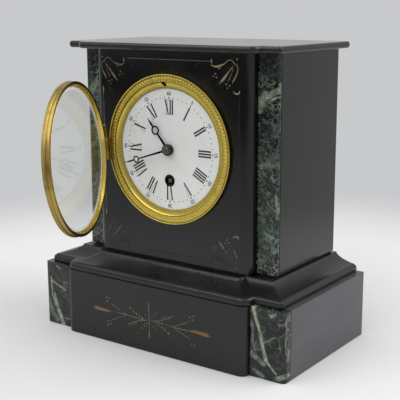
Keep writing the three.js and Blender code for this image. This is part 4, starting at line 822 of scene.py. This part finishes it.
# The incised and gilded ornament: lines are (x, z, width) points, dots are (x, z, radius)
CORNER_LINES = (
    ((37.4, 208.2, 0.5), (40.3, 207.2, 1.3), (43.2, 207.4, 1.9), (46.0, 208.3, 1.5), (48.4, 209.3, 0.8),
     (50.6, 211.2, 0.6), (53.2, 212.0, 0.6), (55.4, 210.9, 0.6), (56.3, 209.2, 0.7)),
    ((55.4, 208.0, 0.4), (52.4, 204.7, 0.9), (48.6, 200.1, 1.9), (45.6, 197.0, 1.6), (44.0, 195.4, 0.2)),
    ((56.5, 209.7, 0.4), (58.7, 208.3, 0.5), (59.2, 205.2, 0.6), (57.8, 201.6, 1.1), (56.0, 198.6, 1.0),
     (54.6, 196.4, 0.2)),
    ((45.0, 206.6, 0.2), (44.2, 205.9, 0.8), (43.4, 205.4, 0.2)),
    ((55.6, 191.4, 0.3), (56.6, 190.1, 0.8), (58.6, 189.4, 1.2), (60.3, 190.2, 1.1), (60.9, 191.8, 0.3)),
    ((37.7, 212.4, 0.2), (37.7, 211.6, 1.1), (37.7, 209.9, 1.2), (37.7, 209.0, 0.2)),
    ((55.6, 207.0, 0.2), (54.2, 203.0, 0.35), (52.4, 199.4, 0.4), (51.2, 197.4, 0.2)),
)
BARE_LINES = (0, 3, 5)
CRESCENT = 4
CORNER_DOTS = (
    (41.1, 202.3, 0.72), (39.4, 200.7, 0.62), (41.9, 199.9, 0.7), (49.8, 195.6, 0.68), (52.6, 194.7, 0.72),
    (50.8, 193.0, 0.68), (58.6, 212.6, 0.85),
)
# Place, gilding, side, rise, shift outward, drop toward the middle, share of the width
CORNERS = (
    ("upper_right", GREY_GILT, 1, 1, 0.0, 0.0, 0.85), ("upper_left", DIM_GILT, -1, 1, 2.5, 1.6, 0.75),
    ("lower_right", SPECKLED_GILT, 1, -1, 0.0, 0.0, 0.85), ("lower_left", WORN_GILT, -1, -1, 1.2, 0.0, 0.8),
)
SPRAY_MIDDLE = (-0.3, 24.2)
SPRAY_LINES = (
    ((0.6, 24.3, 0.3), (8.0, 24.5, 0.5), (14.8, 24.2, 0.4), (25.6, 23.8, 0.5), (37.2, 24.0, 0.3)),
    ((21.0, 24.4, 0.2), (25.6, 26.2, 0.3), (29.8, 28.0, 0.35), (33.2, 29.7, 0.35), (36.6, 31.7, 0.25)),
    ((21.8, 23.3, 0.2), (25.6, 21.8, 0.3), (29.8, 20.5, 0.35), (33.0, 19.4, 0.35), (36.4, 17.8, 0.25)),
    ((2.4, 24.6, 0.2), (6.0, 25.3, 0.35), (9.7, 26.3, 0.45), (15.6, 28.7, 0.4), (19.0, 30.5, 0.3), (22.4, 32.6, 0.2)),
    ((52.6, 24.0, 0.3), (53.6, 23.9, 0.35), (54.8, 23.8, 0.2)),
)
SPRAY_BUD = (
    (36.8, 24.1, 0.9), (39.6, 24.4, 1.9), (44.0, 24.4, 2.3), (49.0, 24.2, 2.6), (51.7, 24.0, 2.5), (52.4, 24.0, 1.0),
)
SPRAY_SPINE = (
    (-0.5, 9.8, 0.2), (-0.4, 14.0, 0.9), (-0.3, 20.5, 0.3), (-0.3, 24.2, 1.2), (-0.4, 28.0, 0.3), (-0.6, 34.5, 0.9),
    (-0.8, 38.8, 0.2),
)
SPRAY_LEAVES = ((6.0, 23.2), (8.6, 22.4), (11.5, 21.4), (14.2, 20.0), (17.2, 18.2))
SPRAY_COMB = ((11.8, 28.4), (13.8, 29.1), (15.8, 29.8), (17.8, 30.5))
SPRAY_DOTS = (
    (36.4, 34.2, 0.7), (38.8, 32.6, 0.7), (39.6, 35.6, 0.7), (39.6, 17.1, 0.7), (37.4, 14.3, 0.7), (40.3, 14.2, 0.7),
    (2.2, 26.9, 0.55), (4.0, 29.0, 0.65), (6.6, 31.1, 0.7), (3.8, 20.2, 0.45), (6.4, 18.6, 0.5),
)


def mirrored(points, across, upward, middle=(0, MOTIF_MIDDLE)):
    """Points of an ornament turned over about the middle; across and upward are 1 or -1."""
    return [
        (middle[0] + across * (p[0] - middle[0]), middle[1] + upward * (p[1] - middle[1]), *p[2:]) for p in points
    ]


def make_face_ornament():
    """Sprays at the corners of the body face and thin border lines between them."""
    faces = BODY_FACE + CUT, BODY_FACE - CUT
    for place, material, side, rise, shift, drop, share in CORNERS:
        bm = bmesh.new()
        bare = bmesh.new()
        for i, line in enumerate(CORNER_LINES):
            if i == CRESCENT and side < 0:
                continue
            moved = [(x + shift, z - drop, width * share) for x, z, width in line]
            ribbon(bare if rise < 0 and i in BARE_LINES else bm, eased(mirrored(moved, side, rise), 5), *faces)
        for x, z, radius in mirrored(CORNER_DOTS, side, rise):
            dot(bm, x + shift * side, z - drop * rise, radius * share, *faces)
        finish_piece(bm, f"{place}_corner_spray", material)
        if rise < 0:
            finish_piece(bare, f"{place}_bare_cuts", EMPTY_LINES)
        else:
            bare.free()
    for place, material, rise in (("upper", DIM_GILT, 1), ("lower", EMPTY_LINES, -1)):
        bm = bmesh.new()
        border = mirrored([(-36.4, 210.6, 0.3), (0, 210.6, 0.4), (36.4, 210.6, 0.3)], 1, rise)
        ribbon(bm, eased(border, 4), *faces)
        finish_piece(bm, f"{place}_border_line", material)
    for hand, material, side, bead in (("left", DIM_GILT, -1, 1.3), ("right", EMPTY_LINES, 1, 0.35)):
        bm = bmesh.new()
        x = side * 60.6
        upper = [(x, 184.0, 0.35), (x, 187.4, bead), (x, 189.4, 0.2)]
        ribbon(bm, [*mirrored(upper, 1, -1)[::-1], (x, MOTIF_MIDDLE, 0.4), *upper], *faces)
        finish_piece(bm, f"{hand}_border_line", material)


def make_plinth_ornament():
    """A long spray on the plinth, the same after half a turn about its middle."""
    faces = PLINTH_FACE + CUT, PLINTH_FACE - CUT
    bm = bmesh.new()
    for turn in (1, -1):
        ribbon(bm, eased(mirrored(SPRAY_BUD, turn, turn, SPRAY_MIDDLE)), *faces)
        for x, z in mirrored(SPRAY_COMB, turn, turn, SPRAY_MIDDLE):
            ribbon(bm, [(x - 0.3, z - 1.5, 0.15), (x, z, 0.5), (x + 0.2, z + 1.5, 0.15)], *faces)
    finish_piece(bm, "plinth_spray_buds", BUD_GILT)
    bm = bmesh.new()
    for turn in (1, -1):
        for line in SPRAY_LINES:
            ribbon(bm, eased(mirrored(line, turn, turn, SPRAY_MIDDLE)), *faces)
        for x, z in mirrored(SPRAY_LEAVES, turn, turn, SPRAY_MIDDLE):
            ribbon(bm, eased([(x - 0.9, z + 0.6, 0.3), (x, z, 1.1), (x + 0.6, z - 0.7, 0.3)], 4), *faces)
        for x, z, radius in mirrored(SPRAY_DOTS, turn, turn, SPRAY_MIDDLE):
            dot(bm, x, z, radius, *faces)
    ribbon(bm, eased(SPRAY_SPINE), *faces)
    finish_piece(bm, "plinth_spray", GILT)


# The fixed bezel and the glazed door
def hinge_knuckle(name, radius, foot, head, near, far, place, body="case"):
    """A knuckle on the door's hinge line, with the leaf that joins it to its ring."""
    bm = bmesh.new()
    pin(bm, radius, foot, head, HINGE)
    soften(bm, edges_of(box(bm, (HINGE[0], near, foot), (HINGE[0] + 3, far, head))), 0.2)
    finish_piece(bm, name, DOOR_BRASS, (), 35.0, place, body)


def bead_ring(name, material, count, facets, spot, size, place, body="case"):
    """Beads in a row all round a ring."""
    bm = bmesh.new()
    for i in range(count):
        ball(bm, facets, Matrix.Rotation(tau * i / count, 4, "Y") @ Matrix.Translation(spot), size)
    finish_piece(bm, name, material, (), 60.0, place, body)


def make_bezel():
    """Turned and milled ring: thin lip, hollow slope, ribbed band and outer rim, with the hinge's fixed knuckle."""
    slope = [(44.35 + 4.2 * sin(a), -39.35 - 1.62 * (1 - cos(a))) for a in arc(0, 90, 8)]
    bm = bmesh.new()
    lathe(bm, [
        (48.9, -38.9), (44.0, -38.9), (44.0, -39.2), (44.15, -39.35), *slope, (48.6, -41.1), (48.65, -41.75),
        (52.85, -41.75), (52.95, -41.65), (53.0, -41.1), (53.3, -41.1), (53.35, -41.9), (53.45, -42.2),
        (53.65, -42.34), (53.95, -42.4), (54.25, -42.3), (54.45, -42.0), (54.5, -41.6), (54.5, -40.3),
        (54.35, -40.0), (54.1, -39.9), (49.6, -39.9), (49.6, -30.9), (48.9, -30.9),
    ], 192)
    slot = bmesh.new()
    lie = Matrix.Translation((0, 0, 47.3)) @ Matrix.Rotation(radians(38), 4, "Y")
    bmesh.ops.transform(slot, matrix=lie, verts=box(slot, (-1.9, -45, -1.15), (1.9, -35, 1.15)))
    cut_away(bm, slot)
    finish_piece(bm, "bezel_ring", BEZEL_BRASS, ["bezel"], 24.0, BEZEL)
    bm = bmesh.new()
    # A dark blued plate behind the regulator slot: painted shade inside the slot
    bmesh.ops.transform(bm, matrix=lie, verts=box(bm, (-1.95, -39.75, -1.2), (1.95, -39.0, 1.2)))
    finish_piece(bm, "regulator_slot_painted_shade", BLUED, (), 35.0, BEZEL)
    bead_ring("bezel_ribs", SATIN_BRASS, 120, (8, 6), (0, -41.75, 50.5), (1.2, 0.27, 1.75), BEZEL)
    hinge_knuckle("bezel_hinge_knuckle", 1.9, -7.8, 8.8, BEZEL_RIM, BEZEL_SEAT, BEZEL)
    bm = bmesh.new()
    pin(bm, 0.65, -8.1, 18.6, HINGE, 16, 0.1)
    ball(bm, (20, 12), Matrix.Translation((*HINGE, 18.7)), (1.1, 1.1, 0.3))
    finish_piece(bm, "door_hinge_pin_turned", BRASS, ["door_hinge_pin"], 35.0, BEZEL)


def make_door():
    """Glazed ring: milled front edge, a groove round its wall, knuckle and leaf, and the bevelled pane with a painted
    highlight along its edge.
    """
    turned("door_ring_turned", DOOR_BRASS, ["door_ring"], 24.0, [
        (52.0, -42.75), (52.3, -42.7), (53.3, -42.7), (53.6, -42.8), (53.75, -43.1), (53.8, -43.6), (53.8, -44.9),
        (53.65, -45.25), (53.3, -45.45), (53.25, -45.7), (53.5, -45.95), (53.7, -46.1), (53.8, -46.4), (53.8, -48.1),
        (53.7, -48.5), (53.3, -48.8), (52.6, -48.8), (52.2, -48.6), (51.9, -48.35), (51.4, -48.3), (50.8, -48.15),
        (50.2, -47.95), (49.85, -47.75), (49.9, -47.6), (52.0, -47.6),
    ], 192, DOOR, body="glass_door")
    bead_ring(
        "door_milled_edge", DOOR_BRASS, 227, (6, 4), (0, -47.5, 53.7), (0.5, 1.15, 0.48), DOOR, "glass_door",
    )
    hinge_knuckle("door_hinge_knuckle", 1.45, 9.1, 18.1, HINGE[1] - 1.45, DOOR_BACK, DOOR, "glass_door")
    turned("door_retaining_ring_turned", BRASS, ["door_retaining_ring"], 28.0, [
        (50.2, -45.4), (50.2, -45.15), (50.35, -44.95), (50.7, -44.6), (51.0, -44.05), (51.15, -43.45), (51.3, -43.3),
        (51.45, -43.05), (51.55, -42.8), (51.7, -42.9), (51.7, -45.4),
    ], 144, DOOR, body="glass_door")
    pane = turned("door_glass_pane", GLASS, ["door_glass"], 4.0, [
        (0, -47.3), (50.9, -47.3), (51.6, -46.8), (51.7, -46.6), (51.7, -45.8), (51.6, -45.7), (0, -45.7),
    ], 144, DOOR, body="glass_door")
    pane.visible_shadow = False
    # Painted highlight: a near-white ring along the pane's edge
    turned("door_glass_edge_highlight", GLASS_EDGE_HIGHLIGHT, (), 30.0, [
        (48.1, -45.69), (50.15, -45.69), (50.15, -45.5), (49.9, -45.5),
    ], 144, DOOR, body="glass_door")


# The dial, its print and the hands
def make_dial():
    """The enamel disc with its winding hole, and the blued grommet in it."""
    bm = bmesh.new()
    lathe(bm, [
        (3.7, -38.5), (3.8, DIAL_FACE), (45.1, DIAL_FACE), (45.4, -38.4), (45.4, DIAL_BACK), (3.7, DIAL_BACK),
    ])
    plug = bmesh.new()
    pin(plug, 4.5, -45, -30, WINDING, 64, 0.01, lying=True)
    cut_away(bm, plug)
    finish_piece(bm, "dial_enamel_disc", ENAMEL, ["dial"], 30.0, FRONT)
    turned("winding_grommet_turned", BLUED, ["winding_grommet"], 35.0, [
        (3.5, -38.8), (3.6, -39.0), (3.85, -39.1), (4.1, -39.05), (4.3, -38.85), (4.35, -38.6), (4.35, DIAL_BACK),
        (3.5, DIAL_BACK),
    ], 48, centre=WINDING)


# Height of the hours, widths of their strokes and serifs, and how far a serif lies from the end
HEIGHT = 10.9
THICK = 1.18
THIN = 0.2
SERIF = 0.16
SERIF_INSET = 0.12
# Width of each letter and its strokes from (x, z, width) to (x, z, width)
LETTERS = {
    "I": (1.95, [((0.97, 0.1, THICK), (0.97, HEIGHT - 0.1, THICK))]),
    "V": (4.1, [
        ((0.8, HEIGHT - 0.15, THICK), (2.1, 0.15, THICK * 0.8)), ((3.5, HEIGHT - 0.15, THIN), (2.25, 0.3, THIN)),
    ]),
    "X": (4.2, [
        ((0.8, HEIGHT - 0.15, THICK), (3.4, 0.2, THICK)), ((3.5, HEIGHT - 0.15, THIN), (0.7, 0.2, THIN)),
    ]),
}
HOURS = ("XII", "I", "II", "III", "IIII", "V", "VI", "VII", "VIII", "IX", "X", "XI")


def add_mesh(bm, mesh):
    """Adds a mesh to a bmesh and drops it."""
    bm.from_mesh(mesh)
    bpy.data.meshes.remove(mesh)


def hour_figure(bm, text, angle, back, front):
    """One Roman hour, its foot towards the centre, with fine serifs along head and foot."""
    made = bmesh.new()
    left = -sum(LETTERS[letter][0] for letter in text) / 2
    for letter in text:
        width, strokes = LETTERS[letter]
        for stroke in strokes:
            ribbon(made, [(left + x, z, w) for x, z, w in stroke], back, front)
        for z in (HEIGHT - SERIF_INSET,) if letter == "V" else (SERIF_INSET, HEIGHT - SERIF_INSET):
            ribbon(made, [(left + 0.08, z, SERIF), (left + width - 0.08, z, SERIF)], back, front)
        left += width
    turn = Matrix.Rotation(radians(angle), 4, "Y") @ Matrix.Translation((0, 0, NUMERAL_FOOT))
    bmesh.ops.transform(made, matrix=turn, verts=made.verts[:])
    spare = bpy.data.meshes.new("figure")
    made.to_mesh(spare)
    made.free()
    add_mesh(bm, spare)


def minute_figure(bm, text, angle):
    """Arabic minutes set radially outside the dots; the text is a mesh before it is placed."""
    words = bpy.data.curves.new("figure", "FONT")
    words.body = text
    words.size = 3.7
    words.align_x = "CENTER"
    words.align_y = "CENTER"
    words.extrude = 0.03
    words.offset = 0.07
    thing = add_object("figure", words)
    ready = thing.evaluated_get(bpy.context.evaluated_depsgraph_get())
    mesh = bpy.data.meshes.new_from_object(ready)
    spot = Matrix.Translation((0, DIAL_FACE - 0.02, FIGURE_RING))
    mesh.transform(Matrix.Rotation(radians(angle), 4, "Y") @ spot @ LYING)
    add_mesh(bm, mesh)
    bpy.data.objects.remove(thing)


def ring_dots(bm, minutes, radius, back, front, segments):
    """Dots of the minute track at the given minutes."""
    for minute in minutes:
        a = radians(6 * minute)
        dot(bm, DOT_RING * sin(a), DOT_RING * cos(a), radius, back, front, segments)


def make_print():
    """Roman hours, a ring of minute dots and small Arabic minutes."""
    back, front = DIAL_FACE + 0.03, DIAL_FACE - 0.05
    bm = bmesh.new()
    for i, text in enumerate(HOURS):
        hour_figure(bm, text, 30 * i, back, front)
    ring_dots(bm, range(0, 60, 5), 0.65, back, front, 10)
    finish_piece(bm, "dial_hours_and_dots", PRINT, (), 35.0, PRINTED)
    bm = bmesh.new()
    ring_dots(bm, [i for i in range(60) if i % 5], 0.48, back, front, 8)
    for i in range(1, 13):
        minute_figure(bm, str(5 * i), 30 * i)
    finish_piece(bm, "dial_minute_figures", PALE_PRINT, (), 35.0, PRINTED)


def make_hand(name, node, body, angle, back, length, ring_at, ring, hole, boss, bore, base, neck, tip, swell):
    """A hand with a pierced round near its tip: boss, tapering shank, ring and point; widths are half widths."""
    front = back - 0.5
    edge = 0.12
    turned(f"{node}_boss", BRONZED, (), 30.0, [
        (bore, back), (boss - edge, back), (boss, back - edge), (boss, front + edge), (boss - edge, front),
        (boss - 0.8, front), (boss - 1.0, front + edge), (bore, front + edge),
    ], 48, body=body)
    bm = bmesh.new()
    lathe(bm, [
        (hole, back), (ring - edge, back), (ring, back - edge), (ring, front + edge), (ring - edge, front),
        (hole + edge, front), (hole, front + edge),
    ], 48, (0, ring_at))
    faces = back - 0.02, front + 0.02
    ribbon(bm, eased([
        (0, boss - 0.5, 2 * base), (0, (boss + ring_at) / 2, base + neck), (0, ring_at - ring + 0.3, 2 * neck),
    ]), *faces)
    top = ring_at + ring
    ribbon(bm, eased([
        (0, top - 0.3, 2 * tip), (0, top + 0.35 * (length - top), 2 * swell), (0, length, 0.12),
    ], 8), *faces)
    turn = Matrix.Rotation(radians(angle), 4, "Y")
    finish_piece(bm, name, BLUED, [node], 30.0, FRONT @ turn, body)


def make_hands():
    """Both hands and the domed collet that holds them."""
    make_hand(
        "hour_hand_pierced", "hour_hand", "hour_hand_body", 320, -40.4, length=28.2, ring_at=17.5, ring=3.4,
        hole=2.3, boss=4.3, bore=2.6, base=0.9, neck=0.55, tip=0.5, swell=0.75,
    )
    make_hand(
        "minute_hand_pierced", "minute_hand", "minute_hand_body", 252, -42.3, length=41.3, ring_at=29.3, ring=2.7,
        hole=1.8, boss=3.9, bore=1.6, base=0.8, neck=0.45, tip=0.4, swell=0.6,
    )
    turned("hand_collet_domed", BRONZED, ["hand_collet"], 40.0, [
        (0, -44.2), (1.0, -44.18), (1.9, -44.05), (2.6, -43.75), (2.95, -43.4), (3.0, -43.15), (2.9, -43.1),
        (1.3, -43.1), (1.3, -43.3), (0, -43.3),
    ], 40, body="minute_hand_body")


# The back of the clock
def make_rear():
    """The ring and the door at the back, and the two slotted screws of the straps."""
    bm = bmesh.new()
    lathe(bm, [
        (35.0, 54.1), (35.0, 55.4), (35.3, 55.75), (35.8, 55.8), (44.0, 55.8), (44.3, 55.55), (44.9, 55.55),
        (45.2, 55.8), (50.6, 55.8), (51.4, 55.6), (51.9, 55.1), (52.0, 54.1),
    ])
    for foot, head in ((-9.5, -3.5), (3.5, 9.5)):
        pin(bm, 0.9, foot, head, REAR_HINGE, 20, 0.1)
        leaf = box(bm, (REAR_HINGE[0], REAR_RING_SEAT + 0.1, foot), (REAR_HINGE[0] + 1.8, REAR_HINGE[1], head))
        soften(bm, edges_of(leaf), 0.15)
    finish_piece(bm, "rear_ring_turned", REAR_BRASS, ["rear_ring"], 28.0, FRONT)
    bm = bmesh.new()
    lathe(bm, [
        (0, 55.5), (33.4, 55.5), (34.2, 56.1), (36.4, 56.1), (36.6, 56.3), (36.6, 56.7), (36.4, 56.9), (34.6, 56.9),
        (34.2, 56.75), (33.7, 56.35), (33.2, 56.3), (31.5, 56.3), (31.2, 56.4), (30.9, 56.3), (8.4, 56.3),
        (8.1, 56.4), (7.8, 56.3), (0, 56.3),
    ])
    pin(bm, 0.9, -3, 3, REAR_HINGE, 20, 0.1)
    soften(bm, edges_of(box(bm, (35.2, 56.12, -3), (REAR_HINGE[0], 56.88, 3))), 0.12)
    lathe(bm, [
        (0, 56.2), (1.2, 56.2), (1.2, 56.9), (1.9, 57.0), (2.2, 57.2), (2.1, 57.4), (1.5, 57.5), (0, 57.5),
    ], 32, (-31, 0))
    finish_piece(bm, "rear_door_turned", REAR_BRASS, ["rear_door"], 28.0, FRONT, "back_door")
    for hand, side in (("left", -1), ("right", 1)):
        bm = bmesh.new()
        x = side * 43
        lathe(bm, [
            (0, 56.0), (2.45, 56.0), (2.6, 56.2), (2.6, 56.6), (2.3, 56.95), (1.4, 57.1), (0, 57.1),
        ], 32, (x, 0))
        groove = bmesh.new()
        cut = box(groove, (x - 0.3, 56.6, -4), (x + 0.3, 58, 4))
        turn = Matrix.Translation((x, 0, 0)) @ Matrix.Rotation(0.5 * side, 4, "Y")
        bmesh.ops.transform(groove, matrix=turn @ Matrix.Translation((-x, 0, 0)), verts=cut)
        cut_away(bm, groove)
        pin(bm, 1.5, 42.2, 56.1, (x, 0), 20, 0.1, lying=True)
        finish_piece(
            bm, f"strap_screw_slotted_{hand}", STEEL, [f"strap_screw_{hand}"], 35.0, FRONT,
        )


def make_pendulum():
    """Lens-shaped bob hung below the cock."""
    profile = [(14 * round(sin(a), 9) ** 0.55, 9.2 - 4 * cos(a)) for a in arc(0, 180, 20)]
    turned(
        "pendulum_bob_turned", BRASS, ["pendulum_bob"], 40.0, profile, 64, centre=(0, -62.4),
        body="pendulum_body",
    )


make_cove()
make_top()
make_body()
make_face_ornament()
make_plinth_ornament()
make_bezel()
make_door()
make_dial()
make_print()
make_hands()
make_rear()
make_pendulum()

dress(BRASS, "polished_brass", "strap_left", "strap_right")
dress(
    MOVEMENT_BRASS, "movement_brass", "dial_plate", "front_plate", "rear_plate", "rear_cock", "suspension_block",
    "barrel", "barrel_cover", "intermediate_wheel", "centre_wheel", "third_wheel", "escape_wheel", "minute_wheel",
    "hour_wheel", "crutch",
)
dress(
    STEEL, "movement_steel", "rear_hinge_pin", "click_screw", "click_spring", "cannon_pinion", "mainspring",
    "ratchet_wheel", "click", "anchor", "suspension_spring", "pendulum_rod", "regulator_arbor", "rating_screw",
)
dress(AGED_STEEL, "movement_steel", "barrel_arbor")


# Floor, light and camera, in metres
def fading_piece(name, bm, f, distance, near, far, drop):
    """A flat piece of the surroundings, just below the clock; it fades away between two distances."""
    f.tree.set(f.shader, "Alpha", f.tree.span(distance, near, far, 1.0, 0.0, interpolation_type="SMOOTHSTEP"))
    piece = as_object(name, bm)
    bm.free()
    piece.data.materials.append(f.material)
    piece.location.z = -drop
    return piece


def make_floor():
    """A pale floor that fades into the pale surroundings behind the clock."""
    f = Finish("pale floor", Roughness=0.9)
    t = f.tree
    where = t.spot()
    # Painted light: the floor is lighter towards the right, with a faint noise
    across = t.span(t.part(where, "X"), 0.0, 0.28)
    spread = t.maths("ADD", t.times(t.noise(where, 3.0, 2.0), 0.3), t.times(across, 0.7))
    f.colour(t.ramp(spread, [(0.1, "dcdbda"), (0.9, "e6e6e7")]))
    bm = bmesh.new()
    bmesh.ops.create_circle(bm, cap_ends=True, segments=96, radius=0.7)
    floor = fading_piece("floor", bm, f, t.length(where), 0.27, 0.58, 0.0002)


def make_card():
    """A dark card well in front of the clock, which only the polished faces mirror."""
    f = Finish("dark card", Roughness=1.0, Specular_IOR_Level=0.0)
    t = f.tree
    where = t.spot()
    f.colour(t.ramp(t.noise(where, 1.0, 1.0), [(0.3, "2b2b2a"), (0.7, "373736")]))
    bm = bmesh.new()
    bmesh.ops.create_grid(bm, x_segments=1, y_segments=1, size=2.5, matrix=Matrix.Translation((-0.6, -2.95, 0.0)))
    card = fading_piece("card", bm, f, t.part(where, "Y"), -1.5, -0.45, 0.002)
    card.visible_camera = False
    card.visible_diffuse = False
    card.visible_shadow = False


def make_world():
    world = bpy.context.scene.world or bpy.data.worlds.new("studio")
    bpy.context.scene.world = world
    world.use_nodes = True
    back = world.node_tree.nodes["Background"]
    back.inputs["Color"].default_value = srgb("c8c9cb")
    back.inputs["Strength"].default_value = 1.0


def add_lamp(name, place, size, power):
    """A square lamp that looks at the clock's middle."""
    data = bpy.data.lights.new(name, "AREA")
    data.energy = power
    data.size = size
    lamp = add_object(name, data)
    lamp.location = place
    aim = Vector((0, 0, 0.1)) - Vector(place)
    lamp.rotation_euler = aim.to_track_quat("-Z", "Y").to_euler()


def make_camera():
    data = bpy.data.cameras.new("camera")
    data.sensor_width = 36.0
    data.sensor_fit = "HORIZONTAL"
    data.lens = 82.0
    camera = add_object("camera", data)
    yaw, pitch, roll = radians(35.63), radians(12.20), radians(-0.21)
    turn = Matrix.Rotation(yaw, 4, "Z") @ Matrix.Rotation(pi / 2 - pitch, 4, "X") @ Matrix.Rotation(roll, 4, "Z")
    camera.matrix_world = Matrix.Translation((0.3956, -0.5530, 0.2494)) @ turn
    bpy.context.scene.camera = camera


make_floor()
make_card()
make_world()
add_lamp("key", (-0.525, -1.5, 2.8), 3.6, 64)
add_lamp("fill", (2.25, 1.35, 2.35), 3.0, 62)
make_camera()
bpy.context.scene.view_settings.view_transform = "Standard"
